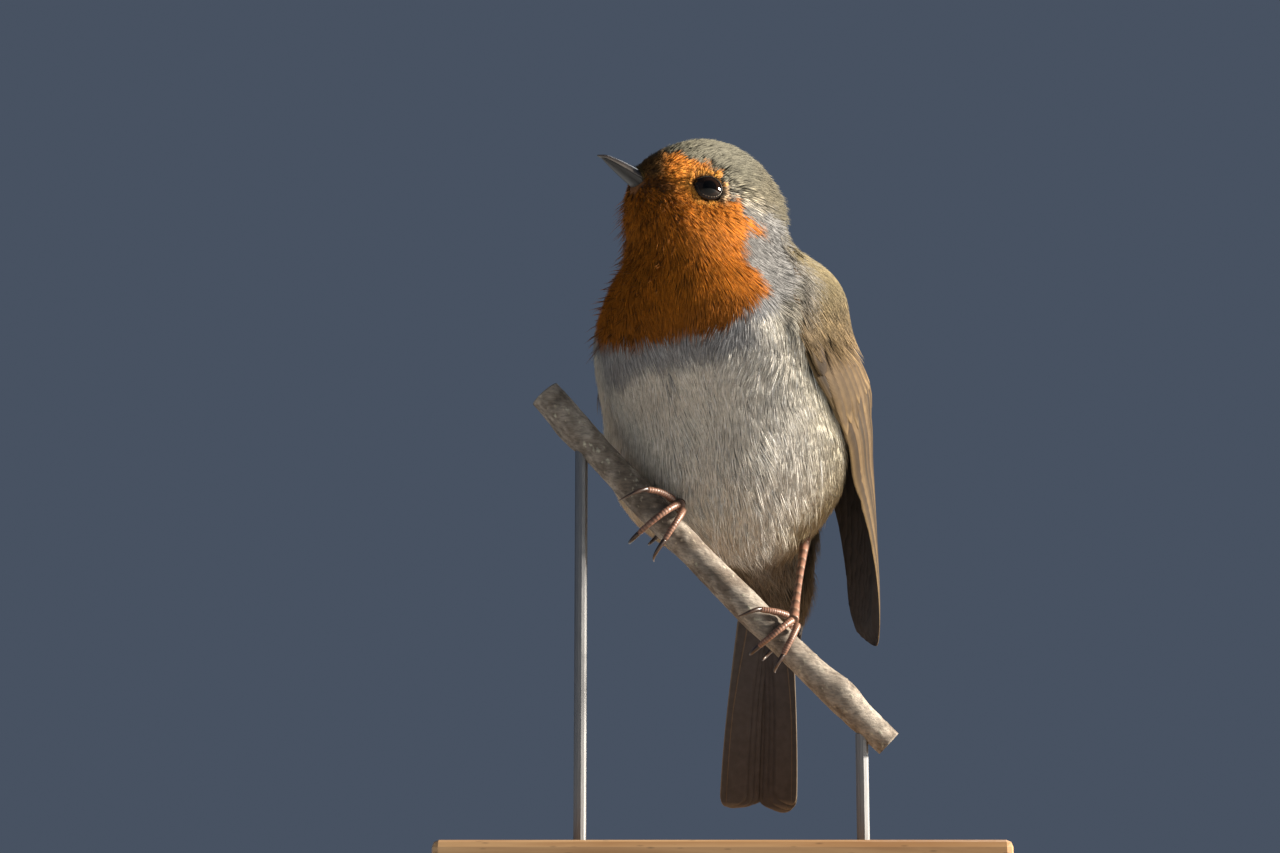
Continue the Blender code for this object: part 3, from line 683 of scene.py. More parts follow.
def eye_distance(points):
    """Distance from an eye's middle across it, with the opening's height stretched to its length."""
    offset = near_eye(points)
    return np.hypot(offset[..., 0] - 0.16, (offset[..., 1] - 0.20) / 0.83)


def beyond_rim(points, width):
    """1 up to the rim of the coat round an eye, and a Gaussian of the distance beyond it."""
    return hill((np.maximum(eye_distance(points) - EYE_RIM, 0.0), 0.0, width))


def eye_dish(points):
    """How far the coat sinks round the eyes in metres, so that each ball shows to its widest part."""
    offset = near_eye(points)
    share = 1.0 - ramp(eye_distance(points), 3.1, 3.0)
    return share * np.clip(offset[..., 2] - 0.95, 0.0, 1.7) * MM


def head_share(points):
    """1 on the head, 0 on the trunk, changing along the throat and nape."""
    hx, _, hz = split(points, HEAD)
    return ramp(hz - 0.25 * hx, -19.0, 12.0)


def orange_mask(points):
    """How far inside the orange each point lies, in millimetres: face, cheek, its point, and bib."""
    hx, _, hz = split(points, HEAD)
    tx, ty, tz = split(points, TRUNK)

    def inside(x, z, half_x, half_z):
        reach = np.hypot((hx - x) / half_x, (hz - z) / half_z)
        return (1.0 - reach) * min(half_x, half_z)

    face = inside(8.3, -5.0, 9.8, 8.4)
    cheek = inside(0.3, -11.0, 7.9, 8.6)
    point = inside(-5.6, -4.9, 4.7, 1.5)
    neck = inside(-2.5, -16.5, 7.4, 6.0)
    ring = 4.9 - eye_distance(points) - 2.6 * fall(hx, 3.0, 3.4)
    upper = np.maximum(np.maximum(np.maximum(face, ring), cheek), np.maximum(point, neck))
    upper = np.where(tz > 26.0, upper, -9.0)
    bib = tx - curve(tz, BIB_HEIGHT, BIB_EDGE)
    low = 18.3 - 2.2 * ramp(-ty, 7.0, 6.0)
    bib = np.where(tz > 42.0, -9.0, np.minimum(bib, (tz - low) * 1.5))
    return np.maximum(upper, bib)


def markings(points, ragged=0.0):
    """The coat's colour at each point, as a linear RGB triple.

    Olive above, white below, buff on flanks, a slate band round the orange of face and breast.
    The vent's buff is darkened as painted shade, and a buff band low on the belly is partly painted
    shade. The bib's orange darkens towards its lower part as painted shade. The dark lores and the
    dark feathering at the bill's base are partly painted shade, and the paler orange round the eyes
    and between bill and eye is partly painted highlight. Each is laid over the last by a smooth mask
    in the trunk's or the head's axes.
    """
    shift = ragged * MM * (noise(points[..., [1, 2, 0]], 1.1 * MM, 5) + 0.5 * noise(points, 0.5 * MM, 6))
    moved = points + shift[..., None] * unit(np.array([0.5, 0.3, 0.8]))
    hx, _, hz = split(moved, HEAD)
    tx, ty, tz = split(moved, TRUNK)
    angle = np.degrees(np.arctan2(np.abs(ty), tx + 3.0))
    head = head_share(moved)

    trunk = 1.0 - head
    low = ramp(-tz, 20.0, 12.0)
    belly = 1.0 - smoothstep((angle - 82.0 + 14.0 * low) / 22.0)
    white = mix(WHITE, CREAM, ramp(angle, 38.0, 34.0) * 0.75 + 0.25 * low)
    flank = hill((angle, 78.0, 20.0)) * ramp(-tz, 2.0, 22.0)
    # a buff band low on the belly: partly buff feathers, partly painted shade of the underside
    fringe = hill((tz, -24.0, 6.0)) * ramp(angle, 20.0, 30.0) * belly
    crown = head * ramp(hz, -2.0, 4.0)
    inside = orange_mask(moved)
    band = ramp(inside, -11.0, 5.0) * (1.0 - ramp(hz, -1.5, 3.0))
    band = band * (1.0 - ramp(-tx, 0.0, 7.0)) * (1.0 - 0.45 * head)
    streaked = np.where(np.sin((hz + 0.28 * hx) * 5.2)[..., None] > 0.0, EAR_PALE, EAR_DARK)
    ear = head * hill((hx, -4.5, 4.5), (hz + 1.2 + 0.25 * hx, 0.0, 2.4))
    ear = ear * ramp(eye_distance(moved), 3.6, 1.2)
    # the bib darkens towards its lower part: painted shade under the head
    warm = mix(ORANGE, ORANGE_PAINTED_SHADE, ramp(12.0 - tz, -16.0, 14.0))
    # a paler ring round each eye and a patch between bill and eye: partly paler feathers, partly painted
    # highlight
    lit = hill((eye_distance(moved), 3.4, 1.2)) * head
    gold = 0.55 * hill((hx, 8.0, 2.4), (hz, -1.2, 3.0))
    warm = mix(warm, ORANGE_PALE, np.maximum(0.70 * lit, 0.75 * gold))
    # dark brown at the bill's base: partly dark feathering, partly painted shade
    brow = ramp(hx, 10.6, 1.8) * ramp(hz, -3.8, 1.4) * head
    # dark lores along the gape: partly dark feathers, partly painted shade under the bill
    lore = hill((hx, 11.4, 3.0), (hz + 4.2 + 0.1 * (hx - 9.0), 0.0, 1.2))
    along, up, _ = np.moveaxis(near_eye(moved), -1, 0)
    corner = hill((along, -3.5, 0.9), (up, 0.1, 1.5)) * head

    colour = np.broadcast_to(OLIVE, (*points.shape[:-1], 3))
    for tone, share in (
            (white, belly * trunk),
            (BUFF, np.clip(0.95 * flank + 0.95 * fringe, 0.0, 1.0) * trunk),
            # the vent: buff darkened as painted shade
            (VENT_BUFF_IN_PAINTED_SHADE, 0.85 * ramp(-tz, 23.0, 9.0) * trunk),
            (CROWN, np.clip(crown + head, 0.0, 1.0)),
            (NAPE, head * ramp(-hx, 2.0, 8.0) * 0.7),
            (SLATE, 0.92 * band),
            (streaked, 0.60 * ear),
            (warm, ramp(inside, -0.5, 1.0)),
            (FOREHEAD, 0.8 * brow),
            (LORES, 0.85 * lore * head),
            (EAR_PALE * 1.15, 0.7 * corner)):
        colour = mix(colour, tone, share)
    return colour


# ---------------------------------------------------------------- coat

STRAND_ALONG = np.array([0.0, 0.56, 1.0])
STRAND_WIDTH = np.array([0.75, 1.0])
STRAND_HIGH = 0.40                     # height of a strand's section over its width
STRANDS = 7                            # in a tuft of the coat
TRIANGLES_A_STRAND = 10
PATCH = 0.0026                         # width of a tuft's patch on the bake map
MOST_TRIANGLES = 190000
UNDER_MARGIN = 7.0                     # degrees inside a wing's edges where the coat ends
UNDER_TOP = 22.0                       # height where a folded wing begins to cover the coat
ROOT_RIM = 2.66                        # nearest that a tuft stands to an eye's middle
FRONT_ANGLE, SIDE_ANGLE = 50.0, 105.0  # edges of breast and belly, and of the flanks
BELLY_TOP, VENT_TOP = 4.0, -24.0
CHART_ROWS, CHART_TURNS, BAND = 300, 192, 3


def coat_length(points):
    """Length of the feathers in millimetres: 1.2 at the bill, 4.8 on the nape, 7 to 9 on the trunk.

    Round the eyes they are down to 0.36 of that.
    """
    away = np.linalg.norm(points - BILL_BASE, axis=-1) / MM
    on_head = np.clip(1.0 + 0.22 * away, 1.2, 4.8)
    round_eye = ramp(eye_distance(points), EYE_RIM, 5.0)
    on_head = on_head * (0.36 + 0.64 * round_eye)
    _, _, tz = split(points, TRUNK)
    on_trunk = 7.0 + 2.0 * ramp(-tz, 8.0, 20.0)
    share = head_share(points)
    return on_trunk * (1.0 - share) + on_head * share


def coat_depth(points):
    """Depth of the coat over the skin in metres: 0.35 mm, and 0.14 of the feathers' length."""
    return (0.35 + 0.14 * coat_length(points)) * MM


def lie(points, normals):
    """The way the feathers lie: away from the bill over the head, down the trunk, and round the eyes.

    The two ways are mixed by the head's share, an eye adds the way from its middle as a Gaussian of
    the distance from it, and a wide soft noise sways the whole a little.
    """
    back = unit(points - BILL_BASE)
    t = local(points, *TRUNK)
    angle = np.arctan2(np.abs(t[..., 1:2]), t[..., 0:1] + 4.0)
    inwards = 0.55 * np.sin(np.clip(2.0 * angle, 0.0, np.pi)) * ramp(t[..., 2:3], -6.0, 20.0)
    forwards = TRUNK_AXES[0] * 0.8 - TRUNK_AXES[1] * np.sign(t[..., 1:2]) * 0.6
    down = -TRUNK_AXES[2] + inwards * forwards
    way = mix(down, back, head_share(points))
    side = np.where(local(points, *HEAD)[..., 1:2] > 0.0, 1.0, -1.0)
    middle = np.where(side > 0.0, eye_centre(1.0), eye_centre(-1.0))
    pull = 1.5 * hill((eye_distance(points), 0.0, 4.6))
    way = way + pull[..., None] * unit(points - middle)
    way = way - np.sum(way * normals, axis=-1, keepdims=True) * normals * 0.92
    sway = 0.32 * noise(points, 7.0 * MM, 3) + 0.22 * noise(points, 2.6 * MM, 4)
    side_way = np.cross(normals, unit(way))
    return unit(unit(way) + sway[..., None] * side_way)


def scatter(density):
    """Chart places spread evenly: areas times the density, summed in bands, and one root a unit."""
    t = np.linspace(0.004, 0.996, CHART_ROWS + 1)
    turn = np.linspace(-np.pi, np.pi, CHART_TURNS + 1)
    grid = chart(*np.meshgrid(t, turn, indexing="ij"))
    across = grid[1:, 1:] - grid[:-1, :-1]
    other = grid[1:, :-1] - grid[:-1, 1:]
    area = 0.5 * np.linalg.norm(np.cross(across, other), axis=-1) / MM ** 2
    middle = 0.25 * (grid[1:, 1:] + grid[:-1, :-1] + grid[1:, :-1] + grid[:-1, 1:])
    wanted = (area * density(middle)).reshape(CHART_ROWS // BAND, BAND, CHART_TURNS).transpose(0, 2, 1)
    total = np.cumsum(wanted.ravel())
    count = int(total[-1])
    pick = np.arange(count) + 0.5 + RNG.uniform(-0.32, 0.32, count)
    cell = np.searchsorted(total, pick)
    band, rest = np.divmod(cell, CHART_TURNS * BAND)
    column, row = np.divmod(rest, BAND)
    row = band * BAND + row
    step_t, step_turn = t[1] - t[0], turn[1] - turn[0]
    return (t[row] + step_t * RNG.uniform(0.0, 1.0, count),
            turn[column] + step_turn * RNG.uniform(0.0, 1.0, count))


def strand_shell(paths, normals, width, colours, bake):
    """Strands as closed three-sided spikes along paths (tufts, strands, 3, 3).

    Each ring is a flat triangle, its base square to the normal and its height a share of the width;
    the last point of a path is the spike's tip.
    """
    tufts, strands, steps = paths.shape[:3]
    along = unit(np.gradient(paths, axis=2))
    side = unit(np.cross(normals, along))
    over = np.cross(along, side)
    half = 0.5 * width[..., None] * STRAND_WIDTH
    low = paths[:, :, :-1]
    side, over = side[:, :, :-1], over[:, :, :-1]
    half = half[..., None]
    ring = np.stack([low + half * side, low - half * side, low + 2.0 * STRAND_HIGH * half * over], axis=3)

    def each_point(rings, last):
        """Ring values and the tip's, point by point for each strand."""
        wide = rings.shape[-1]
        return np.concatenate([rings.reshape(-1, (steps - 1) * 3, wide), last.reshape(-1, 1, wide)], axis=1)

    points = each_point(ring, paths[:, :, -1])
    colour, places = (each_point(np.repeat(v[:, :, :-1, None], 3, axis=3), v[:, :, -1])
                      for v in (colours, bake))
    corners, sizes = [0, 1, 2], [3]
    for r in range(steps - 2):
        for j in range(3):
            k = (j + 1) % 3
            corners += [r * 3 + j, (r + 1) * 3 + j, (r + 1) * 3 + k, r * 3 + k]
            sizes.append(4)
    last = (steps - 2) * 3
    for j in range(3):
        corners += [last + j, (steps - 1) * 3, last + (j + 1) % 3]
        sizes.append(3)
    corners = outward(points[0], np.array(corners), np.array(sizes))
    offsets = np.arange(tufts * strands) * points.shape[1]
    return Shell(points, corners[None] + offsets[:, None], np.tile(sizes, tufts * strands), colour, places)


def fan(length, spread, strands, uneven):
    """Reach and sideways place of each strand's tip: the middle ones longest, as 1 - 0.2 u^2."""
    tufts = len(length)
    u = np.linspace(-1.0, 1.0, strands)[None, :] + RNG.uniform(-0.22, 0.22, (tufts, strands))
    reach = length[:, None] * (1.0 - 0.20 * u ** 2) * (1.0 + uneven * RNG.standard_normal((tufts, strands)))
    return np.maximum(reach, 0.3 * length[:, None]), 0.5 * spread[:, None] * u


def tuft_paths(root, way, side, x, y, size=MM):
    """Points of strands, x along the way they lie and y to the side, as multiples of a size."""
    return (root[:, None, None] + x[..., None] * size * way[:, None, None]
            + y[..., None] * size * side[:, None, None])


def strand_colours(tips, strands, pale, base_share):
    """Grey down at the root and the marking towards the tip, uneven from tuft to tuft and within one."""
    tufts = len(tips)
    tone = 1.0 + 0.09 * RNG.standard_normal((tufts, 1, 1)) + 0.15 * RNG.standard_normal((tufts, strands, 1))
    tone = np.clip(tone, 0.6, 1.5)
    each = tips[:, None] * tone
    bright = (RNG.uniform(0.0, 1.0, (tufts, strands)) < pale[:, None])[..., None]
    each = np.where(bright, np.minimum(1.55 * each + 0.03 * tips.mean(axis=-1)[:, None, None], 0.92), each)
    dull = np.broadcast_to(base_share, (tufts,))[:, None, None]
    base = each * (1.0 - dull) + dull * UNDER_DOWN * tone
    share = ramp(STRAND_ALONG, 0.22, 0.42)[None, None, :, None]
    colours = base[:, :, None] * (1.0 - share) + each[:, :, None] * share
    colours[:, :, 1] *= 0.88
    colours[:, :, -1] = np.minimum(colours[:, :, -1] * 1.26, 0.95)
    return colours


def bake_places(u, v, strands):
    """A patch for each tuft at its root's place on the unrolled skin, its strands side by side."""
    place_uv = np.stack([u, v], axis=-1) * 0.99 + 0.005
    across = np.linspace(-0.5 * PATCH, 0.5 * PATCH, strands)[None, :, None]
    along = (STRAND_ALONG * PATCH - 0.5 * PATCH)[None, None, :]
    x = place_uv[:, 0, None, None] + across + 0.0 * along
    y = place_uv[:, 1, None, None] + along + 0.0 * across
    return np.stack([x, y], axis=-1)


def under_wing(points):
    """True where a folded wing lies over the body, a margin in degrees inside its edges."""
    tx, ty, tz = split(points, TRUNK)
    covered = np.zeros(points.shape[:-1], bool)
    for side in SIDES.values():
        angle = np.degrees(np.arctan2(side * (ty - WING_AXIS[1]), tx - WING_AXIS[0]))
        angle = np.where(angle < 0.0, angle + 360.0, angle)
        front, back = wing_edges(tz, side)
        inside = (angle > front + UNDER_MARGIN) & (angle < back - UNDER_MARGIN)
        covered |= inside & (tz < UNDER_TOP) & (tz > WING_HEIGHT[1])
    return covered


def coat_density(points):
    """Tufts in a square millimetre: 2.1 on the head and more round bill and eyes, 1.05 to 1.4 on the
    trunk, and none under the wings."""
    head = head_share(points)
    close = hill((np.linalg.norm(points - BILL_BASE, axis=-1), 0.0, 9.0 * MM))
    round_eye = hill((eye_distance(points), 0.0, 5.5))
    on_head = 2.1 + 1.7 * np.maximum(close, round_eye) + 1.8 * beyond_rim(points, 1.2)
    _, _, tz = split(points, TRUNK)
    on_trunk = 1.05 + 0.35 * ramp(tz, 2.0, 14.0)
    density = on_trunk * (1.0 - head) + on_head * head
    return np.where(under_wing(points), 0.0, density)


def in_gap(points):
    """True for roots that would stand in an eye or in the bill."""
    offset = near_eye(points)
    eye = (eye_distance(points) < ROOT_RIM) & (offset[..., 2] > -1.0)
    hx, hy, hz = split(points, HEAD)
    bill = (hx > 10.5) & (np.hypot(hy / 2.8, (hz + 3.9) / 1.9) < 1.0)
    return eye | bill


def regions(points):
    """A short word for the part of the coat that each root is in."""
    hx, _, _ = split(points, HEAD)
    tx, ty, tz = split(points, TRUNK)
    angle = np.degrees(np.arctan2(ty, tx))
    front, flank = np.abs(angle) < FRONT_ANGLE, np.abs(angle) < SIDE_ANGLE
    head = head_share(points) > 0.6
    word = np.full(points.shape[:-1], "mantle", dtype=object)
    for name, inside in (
            ("flank_left", flank),
            ("flank_right", flank & (angle < 0.0)),
            ("breast", front & (tz > BELLY_TOP)),
            ("belly", front & (tz <= BELLY_TOP)),
            ("vent", tz < VENT_TOP),
            ("face", head & (hx >= 0.0)),
            ("crown", head & (hx < 0.0))):
        word[inside] = name
    return word


SKIN_RINGS, SKIN_TURNS = 258, 240


def make_skin():
    """The bird's skin: the body's chart, sunk by the coat's depth and by the dish round each eye."""
    t = np.linspace(0.0, 1.0, SKIN_RINGS + 2)[1:-1]
    turn = np.linspace(-np.pi, np.pi, SKIN_TURNS + 1)[:-1]
    grid_t, grid_turn = np.meshgrid(t, turn, indexing="ij")
    surface, normals = on_body(chart(grid_t, grid_turn))
    down = coat_depth(surface) + eye_dish(surface)
    rings = surface - down[..., None] * normals
    colour = mix(markings(surface, 0.6), UNDER_DOWN, 0.22)
    shell = ring_shell(rings, colour)
    u = np.broadcast_to(turn / (2.0 * np.pi) + 0.5, grid_t.shape)
    places = np.stack([u, grid_t], axis=-1).reshape(-1, 2) * 0.99 + 0.005
    shell.bake = np.vstack([places, [[0.5, 0.002], [0.5, 0.998]]])
    piece = build("skin", shell, DOWN)
    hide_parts("head", "neck", "trunk")


def loose_tips(points):
    """Extra lift of the tips in millimetres: ruffled throat and nape, loose flanks and vent."""
    hx, _, hz = split(points, HEAD)
    _, _, tz = split(points, TRUNK)
    count = points.shape[:-1]
    throat = hill((hz, -12.0, 7.0)) * ramp(hx, 3.0, 6.0)
    nape = hill((hx, -12.0, 5.0)) * ramp(hz, -8.0, 8.0)
    vent = ramp(-tz, 14.0, 10.0)
    some = RNG.uniform(0.0, 1.0, count) ** 4
    return (0.4 * throat + 0.5 * nape + 0.5 * vent) * (0.2 + 2.4 * some) + 0.08 + 0.35 * some


def over_wings(points, settled):
    """Moves points that would run under a folded wing's shoulder out over it, by up to 2.2 mm.

    The wing's surface there is its egg merged with the body, plus the coverts' height; further down,
    the coat runs under the wing's edge.
    """
    tx, ty, height = split(settled, TRUNK)
    x, y = tx - WING_AXIS[0], ty - WING_AXIS[1]
    angle = np.degrees(np.arctan2(np.abs(y), x))
    front, back = (np.where(y > 0.0, left, right)
                   for left, right in zip(wing_edges(height, 1.0), wing_edges(height, -1.0)))
    here = np.hypot(x, y)
    full = COVERT_EDGE * fall(height, SHOULDER_END, 13.0)
    cover = -smooth_min(-here, -egg_radius(height, np.radians(angle)), 2.0) + WING_CLEAR + full + 0.45
    inside = ramp(angle - front, -4.0, 4.0) * fall(angle, back + 4.0, 4.0)
    inside = inside * ramp(height, 7.0, 8.0) * fall(height, 32.0, 4.0)
    push = inside * np.clip(cover - here, 0.0, 2.2)
    out = unit(np.stack([x, y, 0.0 * x], axis=-1)) @ TRUNK_AXES
    return points + (push * MM)[..., None] * out


def coat_tufts(t, turn, strands):
    """All tufts rooted at these chart places: roots, paths, normals, widths, colours and map places.

    A strand's points are laid on the body, sunk at the root by the coat's depth times (1 - s)^1.3,
    and lifted at the tip by s^2.2; where the coat would point out of the skin it runs straight.
    """
    root, normal = on_body(chart(t, turn))
    keep = ~in_gap(root) & ~under_wing(root)
    t, turn, root, normal = t[keep], turn[keep], root[keep], normal[keep]
    way = lie(root, normal)
    length = coat_length(root) * (1.0 + 0.10 * RNG.standard_normal(len(root)))
    reach, across = fan(length, 0.36 * length + 0.5, strands, 0.10)
    side = np.cross(normal, way)
    s = STRAND_ALONG
    raw = tuft_paths(root, way, side, reach[..., None] * s, across[..., None] * s * (1.55 - 0.85 * s))
    settled, out = on_body(raw)
    free = ramp(np.sum(way * normal, axis=-1), 0.25, 0.4)[:, None, None]
    rim = beyond_rim(root, 1.1)[:, None, None]
    sunk = (coat_depth(root)[:, None, None] + 0.1 * MM) * (1.0 - s) ** 1.3 * (1.0 - 0.8 * rim)
    sunk = sunk + eye_dish(settled)
    lift = loose_tips(root)[:, None, None] * s ** 2.2 + RNG.uniform(-0.05, 0.12, (*reach.shape, 1)) * s
    height = lift * MM - sunk
    paths = settled + height[..., None] * out
    paths = mix(paths, raw + height[..., None] * normal[:, None, None], free + 0.0 * height)
    paths[:, :, 1:] = over_wings(paths[:, :, 1:], settled[:, :, 1:])
    tip = root + 0.75 * (length * MM)[:, None] * way
    tint = markings(on_body(tip)[0], 1.1)
    slate = np.clip(1.0 - np.linalg.norm(tint - SLATE, axis=-1) * 4.0, 0.0, 1.0)
    head = head_share(root)
    pale = 0.06 + 0.16 * slate + 0.05 * (tint[:, 0] > 0.5) + 0.10 * head
    colours = strand_colours(tint, strands, pale, 0.38 - 0.12 * head - 0.10 * (tint[:, 0] > 0.5))
    width = (0.115 + 0.017 * length[:, None]) * RNG.uniform(0.75, 1.25, reach.shape) * MM
    bake = bake_places(turn / (2.0 * np.pi) + 0.5, t, strands)
    return root, paths, np.broadcast_to(out, paths.shape), width, colours, bake


def build_in_parts(name, *tufts):
    """Builds tufts (paths, normals, widths, colours, places) as objects of a limited size each."""
    count, strands = tufts[0].shape[:2]
    parts = -(-count // (MOST_TRIANGLES // (strands * TRIANGLES_A_STRAND)))
    for number, chosen in enumerate(np.array_split(np.arange(count), parts)):
        word = name if parts == 1 else "%s_%d" % (name, number + 1)
        build(word, strand_shell(*(values[chosen] for values in tufts)), BARBS)


def make_coat():
    """Contour feathers of head, neck and trunk: tufts of strands, a piece for each part of the body."""
    root, *tufts = coat_tufts(*scatter(coat_density), STRANDS)
    word = regions(root)
    for region in sorted(set(word)):
        build_in_parts("coat_" + region, *(values[word == region] for values in tufts))


# ---------------------------------------------------------------- wings, as in the CAD

WING_AXIS = (-2.0, 0.0)
WING_HALF = (18.5, 22.5)
WING_MIDDLE = -8.0
WING_BELOW = 72.0
WING_ABOVE = 46.0
WING_HEIGHT = (-48.0, -44.0, -36.0, -24.0, -12.0, 4.0, 18.0, 29.0)
WING_FRONT = {1.0: (112.0, 104.0, 96.0, 84.0, 73.0, 64.0, 60.0, 84.0),
              -1.0: (160.0, 146.0, 132.0, 114.0, 98.0, 86.0, 80.0, 96.0)}
WING_BACK = {1.0: (140.0, 145.0, 146.0, 148.0, 157.0, 166.0, 166.0, 150.0),
             -1.0: (170.0, 175.0, 177.0, 176.0, 172.0, 168.0, 166.0, 150.0)}
WING_CLEAR = 0.1
COVERT_SPAN = (-8.0, 27.0)
COVERT_EDGE = 0.9
COVERT_RISE = 1.2
COVERT_FADE = (4.0, 14.0)                  # height where the coverts begin to thin, and over how much
SHOULDER_END = 30.0
WING_SWELL = 2.1
FEATHER_LAYERS = 1.1                       # height of the layers of feathers over the wing's arm
WING_ROUND = 21.0                          # mean radius of a wing's surface, for widths across it
WING_AXLE = place(*TRUNK, (*WING_AXIS, 0.0))
VANE_THICK = 0.16

WING_BROWN = linear("594831")
COVERT_OLIVE = linear("5d4c36")
# dark brown laid on each feather's inner web: painted shadow of the next feather over it
FLIGHT_PAINTED_SHADOW = linear("33281c")
FLIGHT_EDGE = linear("7f6b4c")
FLIGHT_UNDER = linear("504d4f")
SHAFT = linear("54432f")
COVERT_TIP = linear("86704f")
SCAPULAR = linear("7d694c")


def egg_radius(height, turn, size=1.0):
    """Radius of the egg under the wings: sqrt(1 - (height / half length)^2) over its ellipse's."""
    length = np.where(height < WING_MIDDLE, WING_BELOW, WING_ABOVE)
    level = np.sqrt(np.clip(1.0 - ((height - WING_MIDDLE) / length) ** 2, 0.0, 1.0))
    return level * size / np.hypot(np.cos(turn) / WING_HALF[0], np.sin(turn) / WING_HALF[1])


def wing_points(height, angle, lift, side):
    """Points over the trunk: radius is the larger of the body's own and the egg's, plus the lift."""
    a = np.radians(angle)
    out = np.stack([np.cos(a), side * np.sin(a), 0.0 * a], axis=-1) @ TRUNK_AXES
    start = np.stack([0.0 * a + WING_AXIS[0], 0.0 * a + WING_AXIS[1], height + 0.0 * a], axis=-1)
    start = place(*TRUNK, start)
    body = cast(start, out) + GAP
    radius = -smooth_min(-body, -egg_radius(height, a, MM), 2.0 * MM)
    return start + (radius + lift)[..., None] * out


def wing_edges(height, side):
    """Angles of a folded wing's front and back edges at a height."""
    return curve(height, WING_HEIGHT, WING_FRONT[side]), curve(height, WING_HEIGHT, WING_BACK[side])


def covert_top(height, angle, side):
    """Lift of the coverts in millimetres: fullest along the middle, thin at the edges and shoulder."""
    front, back = wing_edges(height, side)
    share = np.clip((angle - front) / (back - front), 0.0, 1.0)
    fade = 1.0 - 0.8 * ramp(height, *COVERT_FADE)
    full = COVERT_EDGE + COVERT_RISE * fade * np.sin(np.pi * share) ** 0.6
    return WING_CLEAR + full * fall(height, SHOULDER_END, 13.0) * ramp(height, -10.0, 12.0)


def wing_bed(height, angle, side):
    """Lift of the surface that the wing's feathers lie on: the coverts' top less their own thickness.

    A swell over the arm is added: a Gaussian of the height, times the share across as a sine^0.7.
    """
    front, back = wing_edges(height, side)
    share = np.clip((angle - front) / (back - front), 0.0, 1.0)
    swell = WING_SWELL * hill((height, -4.0, 18.0)) * fall(height, 16.0, 11.0)
    swell = swell * np.sin(np.pi * share) ** 0.7
    return np.maximum(covert_top(height, angle, side) - FEATHER_LAYERS, 0.0) + WING_CLEAR + swell


def vane_outline(s, blunt, taper):
    """Half width over its greatest: opens from the root, holds, and closes as a quarter ellipse."""
    opening = ramp(s, -0.10, 0.35)
    closing = np.sqrt(np.clip(1.0 - (np.clip(s - blunt, 0.0, 1.0) / (1.0 - blunt)) ** 2, 0.0, 1.0))
    return opening * (1.0 - taper * s) * np.maximum(closing, 0.06)


def vane_plates(middle, out_way, thick, colour, strip, bake, under):
    """Closed vanes on both sides of mid surfaces (vanes, rows, columns, 3), thinner at their edges.

    The surface's way out is the cross product of its two slopes, turned to the given side. The
    underside takes a share of the grey of a feather's back.
    """
    rows_way = np.gradient(middle, axis=1)
    columns_way = np.gradient(middle, axis=2)
    normal = unit(np.cross(rows_way, columns_way))
    normal = normal * np.where(np.sum(normal * out_way, axis=-1) < 0.0, -1.0, 1.0)[..., None]
    columns = middle.shape[2]
    u = np.linspace(-1.0, 1.0, columns)[None, None, :, None]
    half = 0.5 * thick * MM * (1.0 - 0.6 * u ** 2)
    below = mix(colour, FLIGHT_UNDER, under)
    return plates_shell(middle - half * normal, middle + half * normal, colour, bake, strip, below), normal


def shaft_shell(line, normal, radius, colour, bake_place):
    """Feather shafts: six-sided rods along (vanes, rows, 3), thinning to the tip."""
    vanes, rows = line.shape[:2]
    along = unit(np.gradient(line, axis=1))
    side = np.cross(normal, along)
    turn = full_turn(6)
    spread = (np.cos(turn)[None, None, :, None] * side[:, :, None]
              + np.sin(turn)[None, None, :, None] * normal[:, :, None])
    rings = line[:, :, None] + radius[:, :, None, None] * spread
    ends = np.stack([line[:, 0], line[:, -1]], axis=1)
    points = np.concatenate([rings.reshape(vanes, -1, 3), ends], axis=1)
    corners, sizes = ring_faces(rows, 6)
    corners = outward(points[0], corners, sizes)
    each = points.shape[1]
    count = vanes * each
    return Shell(points, corners[None] + (np.arange(vanes) * each)[:, None], np.tile(sizes, vanes),
                 np.broadcast_to(colour, (count, 3)), np.repeat(bake_place, each, axis=0),
                 np.zeros((count, 2)))


def vane_rows(rows):
    """Shares along a feather, closer together towards its tip."""
    return (1.0 - (1.0 - np.linspace(0.0, 1.0, rows)) ** 1.7)[None, :, None]


def vane_shaft(radius, s, vanes):
    """Radii of the shafts in metres: a quarter of the root's at the tip."""
    return radius * MM * (1.0 - 0.75 * s[:, :-1, 0]) * np.ones((vanes, 1))


def strip_places(vanes, rows, columns, across, length):
    """Each vane's own column of the bake map, and millimetres across and along it for the barbs."""
    s = vane_rows(rows)
    u = np.linspace(-1.0, 1.0, columns)[None, None, :]
    cell = np.arange(vanes)[:, None, None]
    x = (cell + 0.5 + 0.42 * u + 0.0 * s) / vanes
    y = 0.02 + 0.96 * s + 0.0 * x
    strip = np.stack([across, length[:, None, None] * s + 0.0 * across], axis=-1)
    return np.stack([x, y], axis=-1), strip


